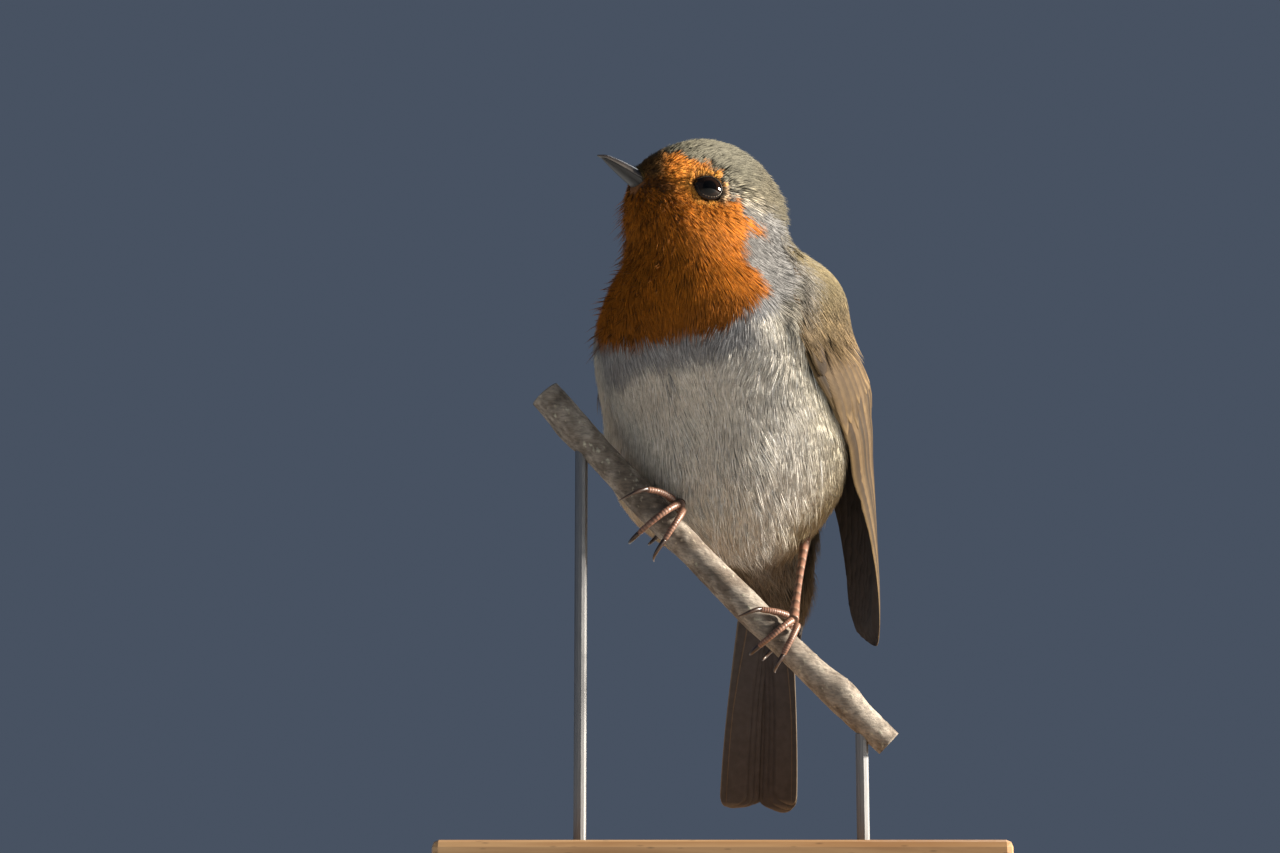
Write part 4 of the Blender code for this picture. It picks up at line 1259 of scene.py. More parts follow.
def wing_vanes(side, root, tip, width, lift, outer, blunt, tilt, shaft, rows, columns, tint):
    """Feathers laid over a wing: arrays of (height, angle) at root and tip, and (lift at root, at tip).

    The shaft runs straight in height and angle; the vane spreads from it to each side, narrower on
    the outer one, arched as 1 - u^2 and tilted so that each lies on the last.
    """
    vanes = len(root)
    s = vane_rows(rows)
    u = np.linspace(-1.0, 1.0, columns)[None, None, :]
    share = np.where(u < 0.0, outer, 1.0 - outer)
    fray = 1.0 + 0.05 * RNG.standard_normal((vanes, rows, 1)) * (np.abs(u) > 0.95)
    across = 2.0 * share * u * vane_outline(s, blunt, 0.12) * width[:, None, None] * fray
    height = root[:, 0, None, None] + (tip - root)[:, 0, None, None] * s + 0.0 * across
    line = root[:, 1, None, None] + (tip - root)[:, 1, None, None] * s
    angle = line + np.degrees(across / WING_ROUND)
    front, back = wing_edges(height, side)
    angle = np.clip(angle, front - 1.0, back + 1.0)
    over = lift[:, 0, None, None] + (lift[:, 1] - lift[:, 0])[:, None, None] * s
    over = over + wing_bed(height, angle, side) + 0.22 * (1.0 - u ** 2) - tilt * u
    middle = wing_points(height, angle, over * MM, side)
    centre = columns // 2
    length = np.linalg.norm(middle[:, -1, centre] - middle[:, 0, centre], axis=-1) / MM
    bake, strip = strip_places(vanes, rows, columns, across, length)
    colour = tint(s + 0.0 * across, u + 0.0 * across, np.arange(vanes)[:, None, None] + 0.0 * across)
    shell, normal = vane_plates(middle, middle - WING_AXLE, VANE_THICK, colour, strip, bake, 0.7)
    rod = shaft_shell(middle[:, :-1, centre], normal[:, :-1, centre], vane_shaft(shaft, s, vanes), SHAFT,
                      bake[:, 0, centre])
    return join([shell, rod])


def flight_tint(s, u, number):
    """Brown vanes with a pale outer edge, the inner web darkened as painted shadow of the next feather over
    it; each a little lighter or darker.
    """
    start = 0.60 + 0.30 * np.sin(number * 4.1 + 1.0)
    # the inner web is darkened as painted shadow of the next feather
    colour = mix(WING_BROWN, FLIGHT_PAINTED_SHADOW, smoothstep((u + start) / 0.5))
    edge = ramp(-u, 0.80, 0.12) * (1.0 - 0.30 * s)
    colour = mix(colour, FLIGHT_EDGE, edge)
    return colour * (1.0 + 0.16 * np.sin(number * 2.4))[..., None]


def covert_tint(s, u, number):
    """Olive-brown coverts with a thin buff fringe at the tip, their inner side darkened as painted shadow
    of the next covert.
    """
    # the inner side is darkened as painted shadow of the next covert
    colour = mix(COVERT_OLIVE, FLIGHT_PAINTED_SHADOW, 0.70 * ramp(u, -0.45, 0.7))
    fringe = ramp(s + 0.06 * np.abs(u), 0.93, 0.05)
    colour = mix(colour, COVERT_TIP, np.clip(0.40 * fringe + 0.7 * ramp(-u, 0.66, 0.2), 0.0, 1.0))
    return colour * (1.0 + 0.07 * np.sin(number * 1.9 + 0.6))[..., None]


def along_wing(height, share, side):
    """(height, angle) pairs at shares of the way from a wing's front edge to its back."""
    height, share = np.broadcast_arrays(np.asarray(height, float), np.asarray(share, float))
    front, back = wing_edges(height, side)
    return np.stack([height, front + share * (back - front)], axis=-1)


# Rows of a wing's feathers, each from front to back: how many there are; root height, root share of the
# way across the wing, tip height, tip share, width, lift at the root and at the tip; then the outer
# web's share, where the blunt end begins, tilt, radius of the shaft, the mesh's rows and columns, and
# the colouring. Along a row a value (first, step, wave, rate) is first + step g + wave sin(rate g).
WING_ROWS = {
    "primaries": (10, (13.0,), (0.025, 0.045), (0.0,), (0.0,), (4.4, 0.08), (0.02, 0.045), (0.06, 0.05),
                  0.27, 0.93, 0.06, 0.16, 46, 9, flight_tint),
    "secondaries": (8, (13.0,), (0.47, 0.062), (-39.8, 1.9), (0.95,), (4.4, 0.05), (0.44, 0.03),
                    (0.56, 0.05), 0.28, 0.93, 0.06, 0.16, 40, 9, flight_tint),
    "tertials": (3, (12.0,), (0.68, 0.10), (0.0,), (0.0,), (5.0, -0.2), (0.70, 0.10), (1.10, 0.16),
                 0.40, 0.88, 0.07, 0.16, 34, 9, flight_tint),
    "primary coverts": (7, (22.0,), (0.02, 0.042), (-6.0, 1.1, 1.8, 2.6), (0.03, 0.046),
                        (2.3, 0.0, 0.3, 1.9), (0.10, 0.02), (0.16, 0.03),
                        0.40, 0.40, 0.05, 0.08, 26, 7, covert_tint),
    "greater coverts": (11, (23.0,), (0.30, 0.061), (1.0, 0.2, 0.8, 2.0), (0.32, 0.060), (3.2, 0.03),
                        (0.30, 0.01), (0.42, 0.030), 0.40, 0.62, 0.05, 0.08, 28, 9, covert_tint),
    "median coverts": (9, (27.5,), (0.41, 0.062), (11.5, 0.2, 0.8, 1.7), (0.42, 0.062), (2.9, 0.03),
                       (0.10, 0.01), (1.05, 0.02), 0.42, 0.78, 0.08, 0.07, 22, 7, covert_tint),
    "thumb": (3, (22.0, -0.5), (0.01, 0.02), (6.0, 2.5), (0.02, 0.03), (2.0, -0.1), (0.30, 0.05),
              (0.75, 0.08), 0.40, 0.60, 0.06, 0.08, 20, 7, flight_tint),
}
PRIMARY_TIPS = ((-48.4, -49.4, -49.9, -50.0, -49.9, -49.6, -49.1, -48.4, -47.4, -45.8),
                (0.03, 0.09, 0.16, 0.25, 0.36, 0.48, 0.60, 0.72, 0.83, 0.93))
TERTIAL_TIP = {1.0: 141.0, -1.0: 153.0}    # angle of the first tertial's tip on each side


def in_row(g, first, step=0.0, wave=0.0, rate=0.0):
    """A value along a row of feathers: first + step g + wave sin(rate g)."""
    return first + step * g + wave * np.sin(rate * g)


def feather_row(name, side, tips=None):
    """A row of a wing's feathers from the table, or with their tips' (height, angle) given."""
    count, *changing = WING_ROWS[name][:8]
    g = np.arange(count)
    height, share, tip_height, tip_share, width, low, high = (in_row(g, *value) for value in changing)
    tips = along_wing(tip_height, tip_share, side) if tips is None else tips
    return wing_vanes(side, along_wing(height, share, side), tips, width, np.stack([low, high], axis=-1),
                      *WING_ROWS[name][8:])


def make_arm(word, side):
    """The down over a wing's arm: a closed plate over the chart, under the coverts."""
    height = np.linspace(COVERT_SPAN[0] + 0.4, COVERT_SPAN[1], 44)[:, None]
    front, back = wing_edges(height, side)
    angle = front + np.linspace(0.03, 0.97, 40)[None, :] * (back - front)
    height = height + 0.0 * angle
    under = wing_points(height, angle, 0.0 * angle + WING_CLEAR * MM, side)
    over = wing_points(height, angle, (wing_bed(height, angle, side) + 0.12) * MM, side)
    colour = np.broadcast_to(COVERT_OLIVE * 0.6, (1, *angle.shape, 3))
    u, v = (angle - front) / (back - front), (height - height.min()) / np.ptp(height)
    places = np.stack([u, v], axis=-1)[None] * 0.98 + 0.01
    arm = build("wing_%s_arm" % word, plates_shell(under[None], over[None], colour, places), DOWN)
    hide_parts("wing_%s_coverts" % word)


def make_wing(word, side):
    """One folded wing: flight feathers, tertials, the arm's down, coverts, and the shoulder's tufts."""
    primaries = feather_row("primaries", side, along_wing(*PRIMARY_TIPS, side))
    quills = join([primaries, feather_row("secondaries", side)])
    piece = build("wing_%s_quills" % word, quills, VANE)
    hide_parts("wing_%s_flight" % word)
    k = np.arange(3)
    tips = np.stack([-28.4 + 4.2 * k, TERTIAL_TIP[side] + 6.0 * k], axis=-1)
    piece = build("wing_%s_tertiaries" % word, feather_row("tertials", side, tips), VANE)
    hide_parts("wing_%s_tertials" % word)
    make_arm(word, side)
    rows = [feather_row(name, side) for name in ("primary coverts", "greater coverts", "median coverts",
                                                 "thumb")]
    build("wing_%s_covert_rows" % word, join(rows), VANE)
    shoulder(word, side)


SHOULDER_TUFTS, SHOULDER_STRANDS = 900, 8
SHOULDER_SPAN = (18.0, 36.0)
GOLDEN = 0.618034                      # spreads the tufts evenly across the wing


def shoulder(word, side):
    """Scapulars and lesser coverts: tufts laid over the wing's chart, from the mantle down.

    Both ends of the field are ragged: the lowest and highest roots are drawn down at random.
    """
    count, strands = SHOULDER_TUFTS, SHOULDER_STRANDS
    height = np.linspace(*SHOULDER_SPAN, count) + RNG.uniform(-0.8, 0.8, count)
    lowest = np.clip(1.0 - (height - SHOULDER_SPAN[0]) / 7.0, 0.0, 1.0)
    height = height - 8.0 * lowest * RNG.uniform(0.0, 1.0, count) ** 2.0
    highest = np.clip((height - SHOULDER_SPAN[1] + 7.0) / 7.0, 0.0, 1.0)
    height = height - 10.0 * highest * RNG.uniform(0.0, 1.0, count)
    share = (np.arange(count) * GOLDEN) % 1.0
    root = along_wing(height, 0.01 + 0.97 * share, side)
    length = RNG.uniform(6.0, 8.4, count)
    reach, across = fan(length, 0.0 * length + 2.4, strands, 0.09)
    s = STRAND_ALONG
    sway = np.radians(5.0 * RNG.standard_normal(count) + 5.0)[:, None, None]
    x, y = reach[..., None] * s, across[..., None] * s ** 0.7
    here = root[:, 0, None, None] - (x * np.cos(sway) - y * np.sin(sway))
    angle = root[:, 1, None, None] + np.degrees((x * np.sin(sway) + y * np.cos(sway)) / WING_ROUND)
    cover = wing_bed(here, angle, side) + FEATHER_LAYERS * fall(here, SHOULDER_END + 1.0, 12.0)
    raised = np.clip(1.0 - (height - SHOULDER_SPAN[0]) / 8.0, 0.0, 1.0)[:, None, None]
    low = (1.0 - s) ** 1.3
    lift = cover - low + 0.15 + 0.30 * raised + RNG.uniform(0.0, 0.12, (*reach.shape, 1)) * s
    paths = wing_points(here, angle, lift * MM, side)
    normals = unit(paths - WING_AXLE)
    tint = mix(SCAPULAR, OLIVE, ramp(height, 14.0, 14.0))
    slate = (1.0 - ramp(share, 0.01, 0.10)) * ramp(height, 16.0, 8.0)
    tint = mix(tint, SLATE, 0.5 * slate)
    cloud = noise(WING_AXLE + root @ np.array([[0.0, 0.0, MM], [0.4 * MM, 0.0, 0.0]]), 3.0 * MM, 21)
    tint = tint * (1.0 + 0.12 * cloud)[:, None]
    colours = strand_colours(tint, strands, np.full(count, 0.10), 0.35)
    width = RNG.uniform(0.16, 0.26, reach.shape) * MM
    bake = bake_places(share, (height - 14.0) / 24.0, strands)
    build_in_parts("wing_%s_shoulder" % word, paths, normals, width, colours, bake)


# ---------------------------------------------------------------- tail, as in the CAD

TAIL_ROOT = (-12.5, -2.2, -24.3)
TAIL_AXES = axes(16.0, -13.0, 6.0)
TAIL_LENGTH = 57.0
TAIL_HALF_ROOT = 4.6
TAIL_HALF_TIP = 8.0
TAIL_ARCH = 1.6

TAIL_BROWN = linear("4b4a4b")
TAIL_EDGE = linear("a4957f")
TAIL_SHAFT = linear("6c6055")


def tail_points(along, across, lift):
    """Points of the tail: across times the half width, the sides falling as across squared."""
    half = TAIL_HALF_ROOT + (TAIL_HALF_TIP - TAIL_HALF_ROOT) * smoothstep(along) ** 0.8
    droop = TAIL_ARCH * (0.4 + 0.6 * along) * across ** 2
    offset = np.stack([droop - lift, across * half, -TAIL_LENGTH * along], axis=-1)
    return place(*TRUNK, TAIL_ROOT) + offset * MM @ TAIL_AXES


def tail_tint(s, u, pale):
    """Grey-brown tail feathers: an outer edge as pale as is said, and a paler fringe at the tip."""
    colour = mix(TAIL_BROWN, FLIGHT_UNDER, ramp(u, -0.6, 1.2))
    colour = mix(colour, TAIL_EDGE, pale * ramp(-u, 0.80, 0.15))
    return mix(colour, TAIL_EDGE, 0.5 * ramp(s, 0.985, 0.01))


def make_tail():
    """Twelve feathers, the middle pair on top and each outer one under the last."""
    rows, columns = 34, 11
    middle = np.array([0.10, 0.27, 0.43, 0.57, 0.71, 0.85])
    lengths = {1.0: np.array([0.970, 0.982, 0.996, 1.000, 0.986, 0.966]),
               -1.0: np.array([0.970, 0.980, 0.990, 0.998, 1.000, 0.994])}
    lift = np.array([0.98, 0.56, -0.08, -0.28, -0.48, -0.70])
    s = vane_rows(rows)
    u = np.linspace(-1.0, 1.0, columns)[None, None, :]
    for word, side in SIDES.items():
        length = lengths[side]
        centre = middle[:, None, None] * (0.55 + 0.45 * smoothstep(s * 1.4))
        out_web = np.minimum(0.36, 1.0 - centre)
        in_web = np.minimum(0.52, centre + 0.10)
        web = np.where(u < 0.0, out_web, in_web) * np.abs(u) * vane_outline(s, 0.955, 0.0)
        across = np.clip(side * (centre - np.sign(u) * web), -1.0, 1.0)
        along = length[:, None, None] * s + 0.0 * across
        height = lift[:, None, None] + 0.05 * (1.0 - u ** 2) + 0.0 * along
        mid = tail_points(along, across, height)
        width = web * TAIL_HALF_TIP * np.sign(u)
        bake, strip = strip_places(6, rows, columns, width, length * TAIL_LENGTH)
        pale = (0.35 + 0.60 * (np.arange(6) == 5))[:, None, None] + 0.0 * across
        colour = tail_tint(s + 0.0 * across, u + 0.0 * across, pale)
        shell, normal = vane_plates(mid, -TAIL_AXES[0], 0.15, colour, strip, bake, 0.35)
        out = normal[:, :-1, columns // 2]
        line = mid[:, :-1, columns // 2] - 0.06 * MM * out
        rod = shaft_shell(line, out, vane_shaft(0.24, s, 6), TAIL_SHAFT, bake[:, 0, columns // 2])
        piece = build("tail_%s_feathers" % word, join([shell, rod]), VANE)
        if side > 0.0:
            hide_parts("tail_left", "tail_middle")
        else:
            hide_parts("tail_right")


# ---------------------------------------------------------------- eyes

IRIS = linear("1c110a")
PUPIL = linear("050404")
LID_DARK = linear("15100c")
LID_PALE = linear("b09a80")


def ball_out(along, up):
    """How far the eye stands out at a place across it: half an ellipsoid, and a low corneal bulge."""
    level = np.clip(1.0 - (along / EYE_HALF[0]) ** 2 - (up / EYE_HALF[1]) ** 2, 0.0, 1.0)
    cornea = 0.22 * np.clip(1.0 - (along ** 2 + up ** 2) / 4.0, 0.0, 1.0) ** 2
    return EYE_HALF[2] * np.sqrt(level) + cornea


def lid_line(theta):
    """Edge of the lids round an eye: an ellipse, low at the front and drawn out to a corner there.

    The corner is a sixteenth power of the cosine, and its height is held back near it.
    """
    cosine, sine = np.cos(theta), np.sin(theta)
    front = np.clip(cosine, 0.0, 1.0)
    a = 0.16 + 2.56 * cosine * (1.0 + 0.15 * front ** 10)
    b = 0.24 + 1.95 * sine * (1.0 - 0.34 * front ** 2)
    return a, b


def on_face(word, along, up, out):
    """Points from places beside an eye: along the face, up and out, in millimetres."""
    side = SIDES[word]
    offset = np.stack(np.broadcast_arrays(along, up, out), axis=-1)
    return eye_centre(side) + offset * MM @ eye_rows(side)


def make_eyeball(word):
    """Eyeball with iris and pupil: an ellipsoid, and the corneal bulge on its outer half."""
    rise = np.radians(np.linspace(-90.0, 90.0, 50)[1:-1])[:, None]
    turn = full_turn(56)[None, :]
    along = EYE_HALF[0] * np.cos(rise) * np.cos(turn)
    up = EYE_HALF[1] * np.cos(rise) * np.sin(turn)
    out = EYE_HALF[2] * np.sin(rise) + 0.0 * turn
    bulge = ball_out(along, up) - EYE_HALF[2] * np.cos(np.arcsin(np.clip(np.cos(rise), 0.0, 1.0)))
    out = out + np.where(np.sin(rise) > 0.0, bulge, 0.0)
    away = np.hypot(along, up)
    colour = mix(IRIS, PUPIL, 1.0 - ramp(away, 1.25, 0.15))
    colour = mix(colour, PUPIL, ramp(away, 2.2, 0.3))
    ends = on_face(word, 0.0, 0.0, np.array([-EYE_HALF[2], ball_out(0.0, 0.0)]))
    shell = ring_shell(on_face(word, along, up, out), colour, ends)
    piece = build("eyeball_" + word, shell, WET_EYE)
    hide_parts("eye_" + word)


LID_STEPS, LID_AROUND, LID_BEADS = 120, 12, 30.0


def make_lid(word):
    """A beaded ring of lid round the almond opening: a thin tube along the lids' edge."""
    theta = full_turn(LID_STEPS)[:, None]
    tube = full_turn(LID_AROUND)[None, :]
    thick = 0.15 * (1.0 + 0.10 * np.sin(theta * LID_BEADS))
    middle_a, middle_b = lid_line(theta)
    level = np.hypot(middle_a, middle_b)
    wide = 1.0 + thick * 0.9 * np.cos(tube) / level
    out = ball_out(middle_a, middle_b) + 0.04 + thick * np.sin(tube)
    points = on_face(word, middle_a * wide, middle_b * wide, out).reshape(-1, 3)
    i, j = np.meshgrid(np.arange(LID_STEPS), np.arange(LID_AROUND), indexing="ij")
    a, b = i * LID_AROUND, (i + 1) % LID_STEPS * LID_AROUND
    k = (j + 1) % LID_AROUND
    corners = np.stack([a + j, a + k, b + k, b + j], axis=-1).ravel()
    sizes = np.full(LID_STEPS * LID_AROUND, 4)
    front_low = ramp(-np.cos(theta - np.radians(50.0)), 0.5, 0.3)
    speck = front_low * smoothstep(np.sin(theta * LID_BEADS) * 2.0) * smoothstep(2.0 * np.cos(tube))
    shell = Shell(points, outward(points, corners, sizes), sizes, mix(LID_DARK, LID_PALE, 0.9 * speck))
    build("lid_" + word, shell, LID_SKIN)


# ---------------------------------------------------------------- bill

BILL_ROOT = 10.6
BILL_TIP = 22.9
BILL_HORN_DARK = linear("1f1b1a")
# pale band along the bill's cutting edges: painted highlight
BILL_PAINTED_HIGHLIGHT = linear("6f6964")
GAPE = linear("6a5a48")


def bill_shell(upper, reach):
    """One half of the bill: half ellipses on the gape line, shrinking to the tip.

    Along it x runs from 0 to 1. The upper half's height falls as (1 - x^2.1)^0.75, the lower's as
    (1 - x^1.2)^0.85 and the width as (1 - x^1.7)^0.8. The upper half has a ridge, a slit of a
    nostril painted near-black as painted shade in its opening, and a slight hook past the lower. A pale
    band along the cutting edges, broad on the upper half, is a painted highlight.
    """
    x = 1.0 - (1.0 - np.linspace(0.0, 1.0, 60)[:, None]) ** 1.35
    turn = full_turn(40)[None, :]
    sine, cosine = np.sin(turn), np.cos(turn)

    def shrinking(root, power, blunt):
        """A size in millimetres that shrinks from its value at the root to nearly nothing."""
        return root * np.clip(1.0 - x ** power, 0.0, 1.0) ** blunt + 0.16

    over, under = shrinking(1.75, 2.1, 0.75), shrinking(1.65, 1.2, 0.85)
    side = cosine * (2.8 * np.clip(1.0 - x ** 1.7, 0.0, 1.0) ** 0.80 + 0.16)
    slit = hill((x, 0.17, 0.055), (sine, 0.55, 0.16)) if upper else 0.0
    if upper:
        ridge = 1.0 + 0.10 * hill((cosine, 0.0, 0.22)) * (1.0 - 0.5 * x)
        rise = np.where(sine > 0.0, np.abs(sine) ** 1.12 * over * ridge, 0.10 * sine * over)
        rise = rise + 0.04 - 0.30 * ramp(x, 0.86, 0.14) - 0.12 * slit
        side = side - 0.30 * np.sign(cosine) * slit
    else:
        rise = np.where(sine < 0.0, sine * under, 0.10 * sine * under) - 0.04
    front = BILL_ROOT + (reach - BILL_ROOT) * x + 0.0 * turn
    points = place(*HEAD, np.stack([front, side, -3.8 + 1.2 * x ** 0.8 + rise], axis=-1))
    # a pale band along the cutting edges, broad on the upper half: painted highlight
    edge = hill((sine, 0.0, 0.30 if upper else 0.10))
    colour = mix(BILL_HORN_DARK * (1.1 if upper else 0.55), BILL_PAINTED_HIGHLIGHT, 0.8 * edge * (1.0 - 0.4 * x))
    colour = mix(colour, GAPE, hill((x, 0.0, 0.10)) * 0.6 + 0.0 * edge)
    # the nostril's slit is painted near-black: painted shade in its opening
    return ring_shell(points, mix(colour, PUPIL, 0.9 * slit + 0.0 * edge * x))


BRISTLES = 9                               # on each side of the gape


def make_bill():
    """Both halves of the bill, and the bristles at its gape and over its nostrils."""
    piece = build("upper_mandible", bill_shell(True, BILL_TIP), BILL_HORN)
    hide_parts("bill_upper")
    piece = build("lower_mandible", bill_shell(False, BILL_TIP - 0.8), BILL_HORN)
    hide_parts("bill_lower")
    bristles = []
    for side in SIDES.values():
        for share in np.arange(BRISTLES) / (BRISTLES - 1.0):
            start = np.array([10.6 - 1.2 * share, side * (1.6 + 1.0 * share), -2.6 - 1.3 * share])
            way = unit(np.array([0.55 - 0.35 * share, side * (0.55 + 0.2 * share), 0.15 - 1.0 * share]))
            long = RNG.uniform(2.2, 3.6)
            s = np.linspace(0.0, 1.0, 7)[:, None]
            path = start + way * long * s + np.array([-0.9, 0.0, -0.7]) * s ** 2
            radii = 0.055 * MM * (1.0 - 0.85 * s[:, 0])
            dark = np.broadcast_to(LORES * 0.5, (len(s), 6, 3))
            bristles.append(tube_shell(place(*HEAD, path), radii, 6, dark))
    build("gape_bristles", join(bristles), BARBS)


def wisps(name, root, normal, length, stand, width, painted_shade_scale):
    """Sparse loose tufts of three long barbs that leave the coat: stand is their slope off the skin, and
    the last argument scales the marking's colour, below one as painted shade.
    """
    count, strands = len(root), 3
    way = unit(lie(root, normal) + stand[:, None] * normal)
    side = np.cross(normal, way)
    reach, across = fan(length, 0.16 * length, strands, 0.2)
    s = STRAND_ALONG
    bend = -0.10 * reach[..., None] * s ** 2
    paths = (tuft_paths(root, way, side, reach[..., None] * s, across[..., None] * s)
             + bend[..., None] * MM * normal[:, None, None])
    tint = np.minimum(markings(root, 0.8) * painted_shade_scale, 0.9)
    colours = strand_colours(tint, strands, np.full(count, 0.2), 0.2)
    normals = np.broadcast_to(normal[:, None, None], paths.shape)
    wide = RNG.uniform(0.8, 1.2, reach.shape) * width * MM
    build_in_parts(name, paths, normals, wide, colours, bake_places(*loose_places(root), strands))


def loose_places(root):
    """Bake places of loose tufts: their turn round the trunk's axis, and their height along it."""
    tx, ty, tz = split(root, TRUNK)
    return np.arctan2(ty, tx) / (2.0 * np.pi) + 0.5, np.clip((tz + 40.0) / 110.0, 0.0, 1.0)


CHIN_WISPS, BELLY_WISPS = 560, 240


def make_wisps():
    """Bristly wisps under the chin, darkened to 0.7 of the marking's colour as painted shade, and a few
    long white barbs over the belly's left side.
    """
    count = CHIN_WISPS
    swing = np.radians(RNG.uniform(-60.0, 60.0, count))
    drop = np.radians(RNG.uniform(24.0, 78.0, count))
    out = np.stack([np.cos(drop) * np.cos(swing), np.cos(drop) * np.sin(swing), -np.sin(drop)], axis=-1)
    out = out @ HEAD_AXES
    start = np.broadcast_to(HEAD_CENTRE, out.shape)
    root, normal = on_body(hit(start, out))
    length = RNG.uniform(2.2, 4.8, count)
    # the chin's wisps take 0.7 of the marking's colour: painted shade under the chin
    wisps("coat_chin_wisps", root - 0.6 * MM * normal, normal, length, RNG.uniform(0.5, 1.6, count), 0.13,
          0.7)
    count = BELLY_WISPS
    angle = np.radians(RNG.uniform(-12.0, 62.0, count))
    start = np.stack([0.0 * angle, 0.0 * angle, RNG.uniform(-26.0, 14.0, count)], axis=-1)
    start = place(*TRUNK, start)
    out = np.stack([np.cos(angle), np.sin(angle), 0.0 * angle], axis=-1) @ TRUNK_AXES
    root, normal = on_body(hit(start, out))
    wisps("coat_belly_wisps", root - 0.3 * MM * normal, normal, RNG.uniform(5.0, 9.5, count),
          RNG.uniform(0.03, 0.12, count), 0.15, 0.98)


NOSTRIL_TUFTS = 150
NOSTRIL_GOLD = linear("96762f")


def nostril_feathers():
    """Short feathers on the base of the upper bill, leaning forward over the nostrils."""
    count, strands = NOSTRIL_TUFTS, 7
    rise = np.radians(RNG.uniform(2.0, 90.0, count)) * np.where(np.arange(count) % 2 == 0, 1.0, -1.0)
    back = RNG.uniform(0.0, 1.0, count)
    outward_way = np.stack([0.0 * rise, np.cos(rise) * np.sign(rise), np.abs(np.sin(rise))], axis=-1)
    start = np.array([11.6, 0.0, -3.9]) + outward_way * np.array([0.0, 2.75, 2.0])
    start[:, 0] += 1.2 * back
    length = RNG.uniform(1.8, 3.1, count) * (0.45 + 0.55 * np.abs(np.sin(rise)))
    reach, across = fan(length, 0.3 * length + 0.3, strands, 0.12)
    s = STRAND_ALONG
    way = unit(np.array([1.0, 0.0, 0.0]) + 0.22 * outward_way + 0.12 * RNG.standard_normal((count, 3)))
    side = np.cross(outward_way, way)
    off = (tuft_paths(start, way, side, reach[..., None] * s, across[..., None] * s, 1.0)
           + (0.15 + 0.25 * s * (1.0 - s))[None, None, :, None] * outward_way[:, None, None])
    paths = place(*HEAD, off)
    normals = np.broadcast_to((outward_way @ HEAD_AXES)[:, None, None], paths.shape)
    gold = RNG.uniform(0.0, 1.0, count) ** 2
    colours = strand_colours(mix(FOREHEAD, NOSTRIL_GOLD, gold), strands,
                             np.full(count, 0.15), 0.3)
    width = RNG.uniform(0.09, 0.15, reach.shape) * MM
    bake = bake_places(0.5 + 0.02 * back, 0.97 + 0.01 * back, strands)
    build_in_parts("coat_nostrils", paths, normals, width, colours, bake)


# ---------------------------------------------------------------- perch, as in the CAD

PERCH_Y = -14.0
PERCH_X = (-33.0, 31.0)
PERCH_MIDDLE = (-3.7, 60.0)
PERCH_SLOPE = 1.04
PERCH_BEND = 0.0014
PERCH_RADIUS = 2.8
KNOTS = ((-27.0, 200.0, 0.7), (-8.0, 80.0, 0.4), (7.0, 250.0, 0.5), (22.0, 30.0, 0.8))

BARK_BROWN = linear("6b6055")
BARK_PALE = linear("c0b8ac")
LICHEN = linear("c2bfab")
LENTICEL = linear("b3a894")
CUT_WOOD = linear("cdb48a")
CUT_RING = linear("a98a5c")


def perch_point(x):
    """Centre line of the perch: z falls with x a little more steeply than one for one, and sags."""
    x = np.asarray(x, float)
    run = x - PERCH_MIDDLE[0]
    z = PERCH_MIDDLE[1] - PERCH_SLOPE * run + PERCH_BEND * run ** 2
    return np.stack([x, PERCH_Y + 0.0 * x, z], axis=-1) * MM


def perch_frame(x):
    """Axes of the perch at x: along it, square up from it, and level towards -Y."""
    along = unit(perch_point(np.asarray(x) + 0.1) - perch_point(np.asarray(x) - 0.1))
    level = np.broadcast_to(np.array([0.0, -1.0, 0.0]), along.shape)
    return along, unit(np.cross(level, along)), level


def perch_radius(x, turn):
    """Radius in millimetres at x and degrees round: a slow swell, and a Gaussian bump for each knot."""
    radius = PERCH_RADIUS + 0.12 * np.sin(x * 0.35) - 0.004 * x + 0.0 * turn
    for knot_x, knot_turn, height in KNOTS:
        apart = (turn - knot_turn + 180.0) % 360.0 - 180.0
        ring = np.hypot((x - knot_x) / 2.6, apart / 45.0)
        radius = radius + height * (hill((ring, 0.0, 1.0)) - 0.45 * hill((ring, 0.0, 0.28)))
    return radius


